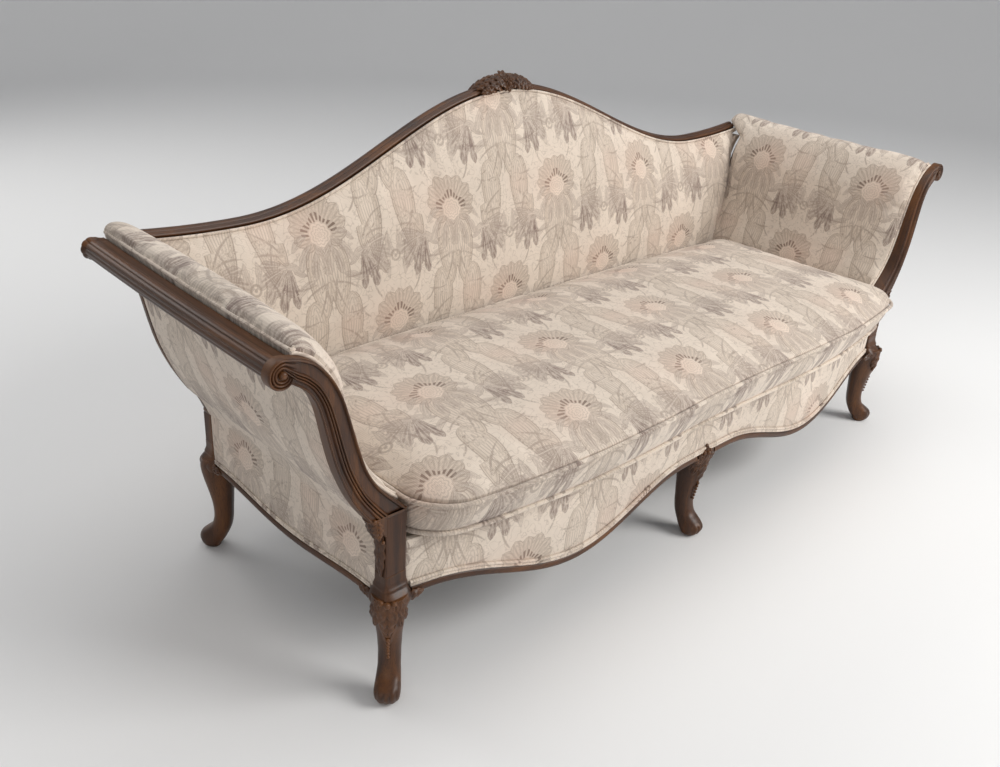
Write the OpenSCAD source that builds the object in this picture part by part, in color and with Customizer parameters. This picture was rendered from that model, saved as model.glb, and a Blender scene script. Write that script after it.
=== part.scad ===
// Cabriole sofa with a camel back, flared scroll arms, a serpentine front
// and one long loose seat cushion on a sprung seat.
// The origin is on the floor under the middle of the whole.
// +X runs along the length, +Y to the back and +Z up. Lengths are in millimetres.
// Pieces are drawn with the front corner legs at y = 0, and placed() moves them.
// Pieces of the right side are drawn, and the left side is their mirror image.

/* [Overall] */
// Distance between the corner legs along the length, centre to centre
post_spread = 1666; // [1500:1:1800]
// Distance from the front corner legs to the rear corner legs, centre to centre
leg_setback = 568; // [530:1:620]
// How far the scrolls of the arms stand outside the corner legs
arm_flare = 194; // [160:1:230]
// Height of the front scroll centres over the floor
scroll_height = 687; // [650:1:720]
// How much the arms rise from the front scroll to the back
arm_lift = 14; // [0:1:30]

/* [Legs and posts] */
// Width of a post along the length
post_size = 44; // [42:1:48]
// Depth of a post from front to back
post_depth = 31; // [28:1:34]
// Height of the cabriole legs, up to the posts
leg_height = 223; // [205:1:245]
// Height of the front posts, where the arm facings land
post_top = 388; // [380:1:396]
// Height of the rear posts, where the rear facings land
rear_post_top = 335; // [328:1:345]
// How far the centre legs stand behind the show face of the rail
centre_leg_in = 35; // [28:1:40]

/* [Seat] */
// Height of the top of the seat rails
rail_top = 292; // [288:1:294]
// Thickness of the seat rails
rail_thick = 32; // [28:1:36]
// Height of the deck that the cushion lies on, over the rails
deck_rise = 25; // [20:1:32]
// Bow of the serpentine front, ahead of the front posts
front_bow = 61; // [40:1:66]
// Dip at the middle of the serpentine front
front_dip = 14; // [8:1:20]
// How far the front cover stands behind the face of the posts at its ends
cover_back = 3; // [2:0.5:6]
// Lowest point of the scalloped front edge
front_low = 132; // [120:1:160]
// Lowest point of the scalloped side edge
side_low = 186; // [170:1:195]
// Where the scallop of the front edge begins, from the middle
scallop_start = 80; // [60:1:100]
// Length of one full scallop of the front edge
scallop_length = 680; // [640:1:690]
// Height of the show-wood bead under the covers
bead_height = 18; // [14:1:22]
// How far the bead stands ahead of the cover
bead_proud = 4; // [2:0.5:6]

/* [Back] */
// How much the crest rail, where it is lowest, stands over the scroll centres
saddle_rise = 12; // [0:1:26]
// Rise of the hump in the middle of the crest
hump_rise = 197; // [140:1:225]
// Length of the hump from foot to foot
hump_length = 1460; // [1380:1:1520]
// Rise of the crest at the arms
ear_rise = 24; // [14:1:30]
// Height of the crest rail's section
crest_height = 30; // [26:1:36]
// Depth of the crest rail's section
crest_depth = 32; // [28:1:36]
// Lean of the back above the deck, in degrees
back_rake = 8; // [5:0.5:10]
// Depth of the inside back's upholstery
back_pad = 38; // [28:1:46]

/* [Arms] */
// Radius of the scrolls that end the arm facings
scroll_radius = 24; // [22:1:26]
// Radius of the arm rails between their ends
rail_radius = 17; // [15:1:19]
// Depth of the arm facings at the front
facing_depth = 28; // [24:1:30]
// How much further back the facings' fronts stand at the scrolls than at the posts
facing_lean = 12; // [0:1:13]
// Depth of the arm facings at the back
rear_facing_depth = 18; // [14:1:18]
// How far the arm rails run past the rear legs' centres
rail_tail = 42; // [36:1:52]
// Height of the reeds on the facings
reed_height = 5; // [3:0.5:6]
// Thickness of the outside arm panels
panel_thick = 8; // [6:0.5:8.5]

/* [Cushion] */
// Room between the cushion's ends and the posts
cushion_room = 6; // [5:1:12]
// Height of the cushion's side from the deck to its top welt
boxing_height = 91; // [76:1:96]
// Rise of the cushion's crown over the top welt
crown_rise = 30; // [20:1:40]
// How much lower the cushion's top is at its ends than in the middle
cushion_droop = 14; // [0:1:26]
// How far the cushion's top edge overhangs the front cover
overhang = 58; // [45:1:64]
// Radius of the welt on the cushion's seams
welt_radius = 4.5; // [3.5:0.5:5]

/* [Seat springs] */
// How many zigzag springs cross the seat
spring_count = 8; // [6:2:10]
// Thickness of the spring wire
wire_size = 3.8; // [3.2:0.2:4.2]
// Width of a zigzag spring
spring_width = 78; // [70:1:84]
// How many bars a zigzag spring has
spring_bars = 12; // [10:1:14]

/* [Hidden] */
// Clear gap between pieces that are upholstered or fitted against each other
gap = 0.3;

// Places along the length
post_x = post_spread / 2;
post_in = post_x - post_size / 2;
post_out = post_x + post_size / 2;
scroll_x = post_x + arm_flare;
arm_run = scroll_x - post_in;

// Places from front to back
post_front = -post_depth / 2;
post_back = post_depth / 2;
rear_face = leg_setback + post_depth / 2;
rear_front = rear_face - post_depth;
facing_back = post_back;
facing_front = facing_back - facing_depth;
rear_facing_front = rear_face - rear_facing_depth;
rail_end = leg_setback + rail_tail;

// Heights
arm_rise = scroll_height - post_top;
deck_height = rail_top + deck_rise;
saddle_height = scroll_height + saddle_rise;
edge_high = leg_height - bead_height;

// Thickness of the padded covers and panels
cover_thick = 12;
back_cover = 5;
upright_width = 36;
upright_in = 40;
tack_height = 40;
tack_low = 345;
slat_thick = 9;
slat_low = 320;
slat_height = 42;
block_size = 60;
block_height = 30;
sheet_thick = 1.2;
brace_width = 44;
block_drop = 5;
crest_room = 2;
capital_height = 36;
carving_length = 212;
carving_rise = 12;
carving_swell = 5;

// Curve through all the points of p, with n steps from point to point
function bend(a, b, c, d, t) =
    (2 * b + (c - a) * t + (2 * a - 5 * b + 4 * c - d) * t * t
    + (3 * b - a - 3 * c + d) * t * t * t) / 2;
function smooth(p, n) = concat(
    [for (i = [0:len(p) - 2], k = [0:n - 1])
        bend(p[max(i - 1, 0)], p[i], p[i + 1], p[min(i + 2, len(p) - 1)], k / n)],
    [p[len(p) - 1]]);
function reversed(p) = [for (i = [len(p) - 1:-1:0]) p[i]];
function joined(lists) = [for (a = lists, b = a) b];
function steps(low, high, n) = [for (i = [0:n]) low + (high - low) * i / n];
function unit(v) = v / norm(v);

// Faces of a skin over n rings of m points. A ring's points i and m-1-i face each
// other, so each end is closed by a strip between its two halves.
function side_faces(n, m, loop) = joined([for (i = [0:loop ? n - 1 : n - 2], j = [0:m - 1])
    let (a = i * m + j, b = i * m + (j + 1) % m,
        c = (i + 1) % n * m + (j + 1) % m, d = (i + 1) % n * m + j)
    [[a, b, c], [a, c, d]]]);
function end_strip(s, m) = joined([for (j = [0:m / 2 - 2])
    [[s + j, s + m - 1 - j, s + m - 2 - j], [s + j, s + m - 2 - j, s + j + 1]]]);
function flipped(f) = [for (t = f) [t[0], t[2], t[1]]];

function end_fan(s, m) = [for (j = [1:m - 2]) [s, s + j + 1, s + j]];

// Closed solid over a list of rings of one length. Its ends are strips, or fans from
// each ring's first point.
module skin(rings, loop = false, flip = false, fan = false) {
    n = len(rings);
    m = len(rings[0]);
    sides = side_faces(n, m, loop);
    last = (n - 1) * m;
    ends = loop ? []
        : fan ? concat(end_fan(0, m), flipped(end_fan(last, m)))
        : concat(end_strip(0, m), flipped(end_strip(last, m)));
    all = concat(sides, ends);
    polyhedron(points = joined(rings), faces = flip ? flipped(all) : all, convexity = 8);
}

// Round cord of radius r along a path, with its rings square to the path
function path_dir(p, i, loop) = loop
    ? unit(p[(i + 1) % len(p)] - p[(i + len(p) - 1) % len(p)])
    : unit(p[min(i + 1, len(p) - 1)] - p[max(i - 1, 0)]);
module tube(path, r, up, sides = 6, loop = false) {
    skin([for (i = [0:len(path) - 1])
        let (d = path_dir(path, i, loop), a = unit(cross(d, up)), b = cross(a, d))
        [for (k = [0:sides - 1]) path[i] + r * (a * cos(360 * k / sides)
            + b * sin(360 * k / sides))]], loop);
}

// Depth of the middle of the whole, from the cushion's front to the back of the crest
bow_share = 0.4;
depth_middle = (front_y(bow_share * post_in) - overhang - welt_radius
    + frame_y(crest_top(0) - crest_height / 2) + crest_depth) / 2;
module placed() {
    translate([0, -depth_middle, 0]) children();
}

module both_sides() {
    children();
    mirror([1, 0, 0]) children();
}

// The serpentine front: two cosine waves, nothing at the posts, along x
function front_wave(x, bow, dip) =
    let (u = min(1, abs(x) / post_in))
    bow * cos(90 * u) - dip * cos(270 * u);
function front_y(x) = post_front + cover_back - front_wave(x, front_bow, front_dip);

// The lower edge of the front: a full cosine scallop at each side of the middle
function front_edge(x) = front_low + (edge_high - front_low)
    * (1 + cos(360 * max(0, min(1, (abs(x) - scallop_start) / scallop_length)))) / 2;

// The lower edge of the sides: one cosine scallop between the legs
function side_edge(y) = side_low + (edge_high - side_low)
    * (1 + cos(360 * max(0, min(1, (y - leg_half) / (leg_setback - 2 * leg_half))))) / 2;

// The crest line: a raised cosine hump and ears that turn up to the arms
function crest_top(x) = saddle_height
    + hump_rise * (1 + cos(180 * min(1, 2 * abs(x) / hump_length))) / 2
    + ear_rise * pow(max(0, abs(x) - hump_length / 2) / (scroll_x - hump_length / 2), 2);
function crest_slope(x) = atan2(crest_top(x + gap) - crest_top(x - gap), 2 * gap);
function crest_under(x) = crest_top(x) - crest_height / cos(crest_slope(x)) - gap;

// The front plane of the back frame: upright, and leaning back above the deck
function frame_y(z) = rear_front + tan(back_rake) * max(0, z - deck_height);

// How much an arm has risen at depth y, for a point at a share of the arm's height
function lift(y, share) = arm_lift * pow(max(0, y) / rail_end, 2) * max(0, min(1, share));

// A point of the right arm from its shares of the arm's run and rise
function arm_point(s, y) =
    [post_in + s[0] * arm_run, y, post_top + s[1] * arm_rise + lift(y, s[1])];

// Outline of the arm facings, as shares of the arm's run and rise
facing_in_shares = [[0, 0], [0.104, 0.072], [0.243, 0.183], [0.347, 0.31],
    [0.414, 0.457], [0.482, 0.644], [0.536, 0.781], [0.613, 0.899], [0.725, 1],
    [0.833, 1.049], [0.9, 1.066]];
facing_out_shares = [[0.35, 0], [0.41, 0.065], [0.505, 0.186], [0.604, 0.363],
    [0.662, 0.52], [0.72, 0.712], [0.762, 0.805], [0.815, 0.87], [0.87, 0.905],
    [0.925, 0.935], [0.965, 0.97]];
// Angles about the scroll centre at which the scroll begins and ends
scroll_from = 112;
scroll_to = -128;
scroll_steps = 12;
// Radius of the scroll's eye as a share of the scroll
eye_share = 0.08;

// Mouldings across a facing: share of its width and share of the reed's height
reed_shares = [[0, -0.4], [0.05, 0.6], [0.13, 1], [0.2, 0.45], [0.3, 0.15],
    [0.46, 0.2], [0.54, 0.85], [0.61, 0.35], [0.68, 0.9], [0.75, 0.4],
    [0.82, 0.85], [0.9, 0.2], [1, -0.4]];

function scroll_point(r, a) = [scroll_x + r * cos(a), 0, scroll_height + r * sin(a)];

// The two edges of the front facing, from the post up and round the scroll
function facing_edge(shares, r) = concat(
    smooth([for (s = shares) arm_point(s, 0)], 2),
    [for (i = [0:scroll_steps])
        scroll_point(r, scroll_from + (scroll_to - scroll_from) * i / scroll_steps)]);

// A ring across the facing between two edge points: flat back and moulded front
function facing_ring(a, b, front, back) = concat(
    [[b[0], back, b[2]], [a[0], back, a[2]]],
    [for (s = reed_shares) let (p = a + (b - a) * s[0])
        [p[0], front + facing_lean * (p[2] - post_top) / arm_rise - reed_height * s[1], p[2]]]);

// Outline of the rear facings, as shares of the arm's run and rise
rear_start = (rear_post_top + gap - post_top) / arm_rise;
rear_end = (scroll_height - rail_radius + lift(rear_facing_front, 1) - gap - post_top)
    / (arm_rise + lift(rear_facing_front, 1));
rear_in_shares = [[0.03, rear_start], [0.05, -0.02], [0.13, 0.075], [0.25, 0.183],
    [0.347, 0.31], [0.414, 0.457], [0.482, 0.644], [0.536, 0.77], [0.65, 0.885],
    [0.92, rear_end]];
rear_out_shares = [[0.2, rear_start], [0.27, -0.06], [0.36, 0.02], [0.49, 0.186],
    [0.592, 0.363], [0.65, 0.52], [0.708, 0.712], [0.76, 0.81], [0.83, 0.88],
    [0.965, rear_end]];

// Section of the inside arm upholstery: its show face and its hidden face
pad_face_shares = [[0.023, -0.22], [0.023, -0.09], [0.032, 0.02], [0.092, 0.115],
    [0.207, 0.225], [0.3, 0.35], [0.37, 0.5], [0.435, 0.66], [0.49, 0.79],
    [0.58, 0.925], [0.7, 1.03], [0.8, 1.075], [0.868, 1.06]];
pad_hidden_shares = [[0.125, -0.22], [0.125, -0.09], [0.125, 0.005], [0.19, 0.08],
    [0.31, 0.185], [0.405, 0.315], [0.475, 0.47], [0.54, 0.64], [0.595, 0.765],
    [0.675, 0.865], [0.765, 0.94], [0.825, 0.965], [0.868, 1]];
// How far the show face swells in the middle of the arm, as a share of the run
pad_swell_share = 0.045;

// Section of the outside arm panel's show face
panel_face_shares = [[0.207, rear_start], [0.23, -0.13], [0.29, -0.04], [0.38, 0.04],
    [0.492, 0.186], [0.592, 0.363], [0.65, 0.52], [0.708, 0.712], [0.755, 0.81],
    [0.805, 0.862], [0.855, 0.89], [0.89, 0.9]];

// Profile of a cabriole leg: share of its height, then the outer side, the inner
// side and the half width as shares of the post's width
leg_shares = [[0, 0.95, 0.3, 0.36], [0.03, 1.12, 0.24, 0.48], [0.09, 1.25, 0.02, 0.54],
    [0.14, 1.2, -0.12, 0.53], [0.18, 0.98, -0.22, 0.51], [0.22, 0.72, -0.3, 0.49],
    [0.27, 0.57, -0.37, 0.47], [0.34, 0.49, -0.42, 0.47], [0.42, 0.48, -0.45, 0.47],
    [0.5, 0.52, -0.48, 0.49], [0.58, 0.6, -0.51, 0.51], [0.67, 0.71, -0.54, 0.56],
    [0.76, 0.82, -0.56, 0.62], [0.85, 0.91, -0.58, 0.69], [0.93, 0.93, -0.6, 0.74],
    [1, 0.85, -0.6, 0.72]];
leg_points = 12;
// How square a leg's section is: 1 is an ellipse, and less is squarer
leg_square_share = 0.86;

// A ring of a leg that stands at the origin and steps forward along +X
function leg_ring(s) =
    let (middle = (s[1] + s[2]) / 2 * post_size, reach = (s[1] - s[2]) / 2 * post_size,
        half = s[3] * post_size)
    [for (k = [0:leg_points - 1])
        let (a = 360 * (k + 0.5) / leg_points)
        [middle + reach * sign(cos(a)) * pow(abs(cos(a)), leg_square_share),
            half * sign(sin(a)) * pow(abs(sin(a)), leg_square_share), s[0] * leg_height]];

module cabriole_leg(turn) {
    rotate([0, 0, turn]) skin([for (s = leg_shares) leg_ring(s)], flip = true);
}

// Stations along the length where the long curved pieces have their rings
function length_stations(half, n) = [for (i = [0:n]) half * (2 * i / n - 1)];

// Box between two corners
module block(low, high) {
    translate(low) cube(high - low);
}

// Corner leg of the right side: a cabriole leg and its post in one piece
module corner_leg(at_y, top, turn) {
    translate([post_x, at_y, 0]) {
        cabriole_leg(turn);
        translate([-post_size / 2, -post_depth / 2, leg_height - gap])
            cube([post_size, post_depth, top - leg_height + gap]);
    }
}

module front_leg_right() {
    color("#4a3020") placed() corner_leg(0, post_top, -45);
}

module front_leg_left() {
    color("#4a3020") placed() mirror([1, 0, 0]) corner_leg(0, post_top, -45);
}

module rear_leg_right() {
    color("#4a3020") placed() corner_leg(leg_setback, rear_post_top, 45);
}

module rear_leg_left() {
    color("#4a3020") placed() mirror([1, 0, 0])
        corner_leg(leg_setback, rear_post_top, 45);
}

module front_leg_center() {
    color("#4a3020") placed() translate([0, front_y(0) + centre_leg_in, 0]) cabriole_leg(-90);
}

module rear_leg_center() {
    color("#4a3020") placed() translate([0, rear_face - centre_leg_in, 0]) cabriole_leg(90);
}

// A beam along the front between stations, from two depths behind the cover's face
// and two heights that follow x
module front_beam(stations, near, far, under, top) {
    skin([for (x = stations) let (y = front_y(x))
        [[x, y + near, under(x)], [x, y + near, top(x)],
            [x, y + far, top(x)], [x, y + far, under(x)]]]);
}

cover_half = post_in - gap;
leg_half_share = 0.76;
leg_half = leg_half_share * post_size;
bead_stations = steps(leg_half, post_x - leg_half, 17);
function front_stations(half) =
    concat([-half], [for (x = reversed(bead_stations)) -x], bead_stations, [half]);

module front_rail() {
    color("#b98d5d") placed() front_beam(front_stations(post_in), cover_thick,
        cover_thick + rail_thick, function (x) front_edge(x) + bead_height,
        function (x) rail_top);
}

module front_cover() {
    color("#ddd0c0") placed() front_beam(front_stations(cover_half), 0, cover_thick - gap,
        function (x) front_edge(x) + bead_height + gap, function (x) deck_height);
}

// Half of the bead under the front, from the centre leg to the corner leg
module front_bead() {
    skin([for (x = bead_stations) let (y = front_y(x), z = front_edge(x))
        [[x, y + cover_thick + rail_thick, z + bead_height],
            [x, y + cover_thick, z + bead_height],
            [x, y - bead_proud * 0.4, z + bead_height],
            [x, y - bead_proud, z + bead_height * 0.7],
            [x, y - bead_proud, z + bead_height * 0.35],
            [x, y - bead_proud * 0.4, z],
            [x, y + cover_thick, z],
            [x, y + cover_thick + rail_thick, z]]], flip = true);
}

module front_bead_right() {
    color("#4a3020") placed() front_bead();
}

module front_bead_left() {
    color("#4a3020") placed() mirror([1, 0, 0]) front_bead();
}

panel_out = post_in + panel_face_shares[0][0] * arm_run;
rail_out = panel_out - panel_thick - gap;

side_stations = steps(leg_half, leg_setback - leg_half, 9);

module side_rail() {
    skin([for (y = concat([post_back], side_stations, [rear_front]))
        let (z = side_edge(y) + bead_height)
        [[rail_out - rail_thick, y, z], [rail_out - rail_thick, y, rail_top],
            [rail_out, y, rail_top], [rail_out, y, z]]], flip = true);
}

module side_rail_right() {
    color("#b98d5d") placed() side_rail();
}

module side_rail_left() {
    color("#b98d5d") placed() mirror([1, 0, 0]) side_rail();
}

module side_bead() {
    inner = rail_out - rail_thick;
    outer = panel_out + bead_proud;
    skin([for (y = side_stations) let (z = side_edge(y))
        [[inner, y, z + bead_height], [outer - bead_proud * 0.6, y, z + bead_height],
            [outer, y, z + bead_height * 0.7], [outer, y, z + bead_height * 0.35],
            [outer - bead_proud * 0.6, y, z], [inner, y, z]]], flip = true);
}

module side_bead_right() {
    color("#4a3020") placed() side_bead();
}

module side_bead_left() {
    color("#4a3020") placed() mirror([1, 0, 0]) side_bead();
}

rear_rail_back = rear_face - back_cover - gap;

module rear_rail() {
    color("#b98d5d") placed() block([-post_in, rear_front, leg_height],
        [post_in, rear_rail_back, rail_top]);
}

// Braces between the front and the rear rail, under the springs
brace_x = post_in / 2;
brace_top = rail_top - block_height;
brace_low = leg_height + sheet_thick + 2 * gap;
function rail_inner_y(x) = front_y(x) + cover_thick + rail_thick;

module seat_braces() {
    color("#b98d5d") placed() both_sides() {
        low = rail_inner_y(brace_x - brace_width / 2) + 2 * gap;
        high = rail_inner_y(brace_x + brace_width / 2) + 2 * gap;
        translate([0, 0, brace_low]) linear_extrude(brace_top - brace_low)
            polygon([[brace_x - brace_width / 2, low], [brace_x + brace_width / 2, high],
                [brace_x + brace_width / 2, rear_front],
                [brace_x - brace_width / 2, rear_front]]);
    }
}

// Triangular blocks glued into the rear corners of the seat frame
module corner_blocks() {
    side_in = rail_out - rail_thick;
    color("#c49a68") placed() both_sides()
        translate([0, 0, rail_top - block_height - block_drop]) linear_extrude(block_height)
            polygon([[post_in - block_size, rear_front], [side_in, rear_front],
                [side_in, rear_front - block_size]]);
}

// How far the flat inner side of an arm rail stands from its middle, as a share
rail_in_share = 1.4;
// The crest ends where the arm cover rolls over it, as a share of the arm's run
crest_end_share = 0.665;
crest_end = post_in + crest_end_share * arm_run;

// Section of the crest rail, as shares of its depth and height, from the top centre
// line: depth to the back, height down from the crest line
crest_shares = [[0.5, -1], [0.5, -0.3], [0.38, -0.08], [0.12, 0], [-0.2, -0.02],
    [-0.42, -0.14], [-0.5, -0.34], [-0.4, -0.42], [-0.4, -0.56], [-0.52, -0.64],
    [-0.52, -0.82], [-0.4, -1]];

// A point of the crest rail: sections stand square to the crest line
function crest_point(x, s) =
    let (a = crest_slope(x), drop = s[1] * crest_height, z = crest_top(x))
    [max(-crest_end, min(crest_end, x - drop * sin(a))),
        frame_y(z - crest_height / 2) + (s[0] + 0.5) * crest_depth, z + drop * cos(a)];

module crest_rail() {
    color("#4a3020") placed() skin([for (x = length_stations(crest_end, 40))
        [for (s = crest_shares) crest_point(x, s)]], fan = true, flip = true);
}

// Carved cartouche on the middle of the crest
module crest_carving() {
    color("#3c2417") placed() skin([for (i = [-10:10])
        let (x = i / 10 * carving_length / 2, swell = pow(cos(9 * i), 0.7),
            lobe = 0.75 + 0.25 * abs(cos(54 * i)),
            rise = carving_rise * (0.15 + swell * lobe),
            under = crest_top(x) + gap, y = frame_y(under - crest_height / 2))
        [[x, y + 0.9 * crest_depth, under], [x, y + 0.86 * crest_depth, under + rise * 0.55],
            [x, y + 0.6 * crest_depth, under + rise],
            [x, y + 0.3 * crest_depth, under + rise * 0.95],
            [x, y - carving_swell * 0.4, under + rise * 0.5],
            [x, y - carving_swell * 0.4, under]]], flip = true);
}

// Section of the arm rail, as shares of its radius: a reeded round with a flat inner
// side for the arm cover
rail_section_shares = concat(
    [[-rail_in_share, -0.75], [-rail_in_share, 0.8], [-1.1, 0.95], [-0.5, 1]],
    [for (i = [0:13]) let (a = 86 - 14 * i, r = i % 2 == 0 ? 1 : 0.92)
        [r * cos(a), r * sin(a)]],
    [[-0.3, -0.98], [-0.9, -0.92]]);
tail_scale_shares = [[0.3, 1], [0.45, 1.35], [0.85, 1.4], [1, 1.15]];

function rail_ring(y, scale) = [for (s = rail_section_shares)
    [scroll_x + max(s[0] * scale, -rail_in_share) * rail_radius, y,
        scroll_height + s[1] * scale * rail_radius + lift(y, 1)]];

module arm_rail() {
    tail_start = rail_end - rail_tail / 2;
    skin(concat(
        [for (y = steps(facing_back, tail_start, 8)) rail_ring(y, 1)],
        [for (s = tail_scale_shares)
            rail_ring(tail_start + s[0] * rail_tail / 2, s[1])]), flip = true);
}

module arm_rail_right() {
    color("#4a3020") placed() arm_rail();
}

module arm_rail_left() {
    color("#4a3020") placed() mirror([1, 0, 0]) arm_rail();
}

module arm_facing() {
    inner = facing_edge(facing_in_shares, scroll_radius);
    outer = facing_edge(facing_out_shares, scroll_radius * eye_share);
    skin([for (i = [0:len(inner) - 1])
        facing_ring(inner[i], outer[i], facing_front, facing_back - gap)], fan = true,
        flip = true);
}

module arm_facing_right() {
    color("#4a3020") placed() arm_facing();
}

module arm_facing_left() {
    color("#4a3020") placed() mirror([1, 0, 0]) arm_facing();
}

// Capital at the outer side of a front post, under the foot of its facing: share of
// its height down from the top and share of its width
capital_shares = [[0, 1], [0.12, 1], [0.2, 0.8], [0.45, 0.6], [0.6, 0.62], [0.8, 0.3],
    [1, 0.12]];

module arm_capital() {
    width = facing_out_shares[0][0] * arm_run - post_size;
    skin([for (s = capital_shares) let (z = post_top - gap - s[0] * capital_height)
        [[post_out, post_front + reed_height / 2, z], [post_out, post_back - gap, z],
            [post_out + width * s[1], post_back - gap, z],
            [post_out + width * s[1], post_front + reed_height / 2, z]]], flip = true);
}

module arm_capital_right() {
    color("#3c2417") placed() arm_capital();
}

module arm_capital_left() {
    color("#3c2417") placed() mirror([1, 0, 0]) arm_capital();
}

module rear_facing() {
    y = rear_facing_front;
    inner = smooth([for (s = rear_in_shares) arm_point(s, y)], 1);
    outer = smooth([for (s = rear_out_shares) arm_point(s, y)], 1);
    skin([for (i = [0:len(inner) - 1]) let (a = inner[i], b = outer[i], m = (a + b) / 2)
        [[a[0], y, a[2]], [m[0], y, m[2]], [b[0], y, b[2]],
            [b[0], rear_face, b[2]], [m[0], rear_face, m[2]], [a[0], rear_face, a[2]]]],
        flip = true);
}

module rear_facing_right() {
    color("#4a3020") placed() rear_facing();
}

module rear_facing_left() {
    color("#4a3020") placed() mirror([1, 0, 0]) rear_facing();
}

// Inside arm upholstery: a crowned S section from the seat up over the arm's top
pad_y_shares = [0, 0.06, 0.18, 0.35, 0.52, 0.7, 0.86, 0.96, 1];
function pad_end(z) =
    (z < tack_low ? rear_front : min(frame_y(z), rear_facing_front)) - gap;
// Above the rear facings the arm cover runs on, past the end of the crest
function pad_tail(s) = pad_end(post_top + s[1] * arm_rise)
    + (frame_y(saddle_height) + crest_depth / 2 - rear_facing_front)
    * max(0, min(1, (s[1] - 0.93) / 0.1));
function pad_point(s, share, swell) =
    let (start = facing_back + gap, y = start + (pad_tail(s) - start) * share,
        p = arm_point(s, y), puff = pad_swell_share * arm_run * swell * sin(180 * share))
    [p[0] - puff, p[1], p[2]];
function swell_at(s) = max(0, min(1, (s[1] - 0.1) / 0.3)) * max(0, min(1, (1.1 - s[1]) / 0.3));

module inside_arm() {
    face = smooth(pad_face_shares, 2);
    hidden = smooth(pad_hidden_shares, 2);
    skin([for (share = pad_y_shares)
        concat([for (s = face) pad_point(s, share, swell_at(s))],
            reversed([for (s = hidden) pad_point(s, share, 0)]))], flip = true);
}

module inside_arm_right() {
    color("#ddd0c0") placed() inside_arm();
}

module inside_arm_left() {
    color("#ddd0c0") placed() mirror([1, 0, 0]) inside_arm();
}

// Outside arm panel: the same S, from the bead up to the underside of the rail. At the
// back it ends at the rear post, and above that at the rear facing.
function panel_ring(y, y_above) =
    let (foot = side_edge(y) + bead_height + gap,
        face = [for (s = panel_face_shares) arm_point(s, s[1] > rear_start ? y_above : y)],
        show = concat([[face[0][0], y, foot]], face),
        n = len(show) - 1)
    concat(show, reversed([for (i = [0:n])
        let (d = unit([for (k = [0, 2]) show[min(i + 1, n)][k] - show[max(i - 1, 0)][k]]))
        show[i] + panel_thick * [-d[1], 0, max(0, d[0])]]));

module outside_arm() {
    skin(concat([for (y = concat([facing_back + gap], side_stations)) panel_ring(y, y)],
        [panel_ring(rear_front - gap, rear_facing_front - gap)]));
}

module outside_arm_right() {
    color("#cbbdac") placed() outside_arm();
}

module outside_arm_left() {
    color("#cbbdac") placed() mirror([1, 0, 0]) outside_arm();
}

// Hidden slats between the posts, to which the arm covers are tacked
module arm_slats() {
    color("#b98d5d") placed() both_sides()
        block([rail_out - slat_thick, post_back, slat_low],
            [rail_out, rear_front, slat_low + slat_height]);
}

// Uprights of the back, from the rear rail to the crest
upright_depth = rear_rail_back - rear_front;
module upright(x) {
    left = x - upright_width / 2;
    right = x + upright_width / 2;
    skin([for (k = [0:2])
        [for (c = [[left, 0], [left, upright_depth], [right, upright_depth], [right, 0]])
            let (z = k == 0 ? rail_top : k == 1 ? deck_height : crest_under(c[0]) - gap)
            [c[0], frame_y(z) + c[1], z]]]);
}

side_upright_x = post_in - upright_in;

module back_uprights() {
    color("#b98d5d") placed() {
        both_sides() upright(side_upright_x);
        upright(0);
    }
}

// Tack rails of the back, between the uprights just above the deck
module back_tack_rails() {
    start = upright_width / 2;
    color("#b98d5d") placed() both_sides() translate([start, 0, 0]) rotate([90, 0, 90])
        linear_extrude(side_upright_x - upright_width / 2 - start)
            polygon([for (c = [[tack_low, 0], [tack_low, upright_depth],
                [tack_low + tack_height, upright_depth], [tack_low + tack_height, 0]])
                [frame_y(c[0]) + c[1], c[0]]]);
}

// Inside back upholstery: it fills the space between the deck, the arms and the crest
// as a crowned sheet that thins out along its top edge
back_low = deck_height + gap;
function face_x(z, shares, y) =
    let (pts = [for (s = shares) arm_point(s, y)])
    min(lookup(z, [for (p = pts) [p[2], p[0]]]), crest_end);
back_side_room = 6;
function back_half(z) = face_x(z, pad_face_shares, pad_end(z)) - back_side_room;
function back_top(x) = crest_under(x) - gap;
function back_thick(u, v) = back_pad * pow(1 - pow(v, 3), 0.6) * (1 - 0.2 * pow(abs(u), 8));
back_edge = 4;

function back_point(u, v, face) =
    let (edge_z = back_low + v * (back_top(post_in) - back_low),
        x = u * back_half(edge_z), z = back_low + v * (back_top(x) - back_low),
        y = frame_y(z) - gap)
    [x, face ? y - back_edge - back_thick(u, v) : y, z];

back_u = [for (i = [-12:12]) sin(90 * i / 12)];
back_v_shares = [0, 0.2, 0.3, 0.42, 0.56, 0.72, 0.86, 0.95, 1];

module inside_back() {
    color("#ddd0c0") placed() skin([for (v = back_v_shares)
        concat([for (u = back_u) back_point(u, v, true)],
            [for (u = reversed(back_u)) back_point(u, v, false)])], flip = true);
}

// Outside back: a thin padded panel over the back of the frame
function rear_y(z) = frame_y(z) + upright_depth + gap;
function outside_half(z) = z < rear_post_top + block_drop
    ? post_in - gap
    : face_x(z, rear_in_shares, rear_facing_front) - gap;
outside_z_shares = [0, 0.21, 0.26, 0.3, 0.38, 0.5, 0.65, 0.85, 1];

// The panel's edges come forward to the rear facings, so that the back is closed
rim_share = 0.97;
function outside_point(u, v, face) =
    let (low = leg_height + gap, edge_z = low + v * (back_top(post_in) - low),
        x = u * outside_half(edge_z), z = low + v * (back_top(x) - crest_room - low),
        y = rear_y(z))
    [x, face ? y + back_cover : abs(u) > rim_share ? min(y, rear_face + gap) : y, z];

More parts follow.
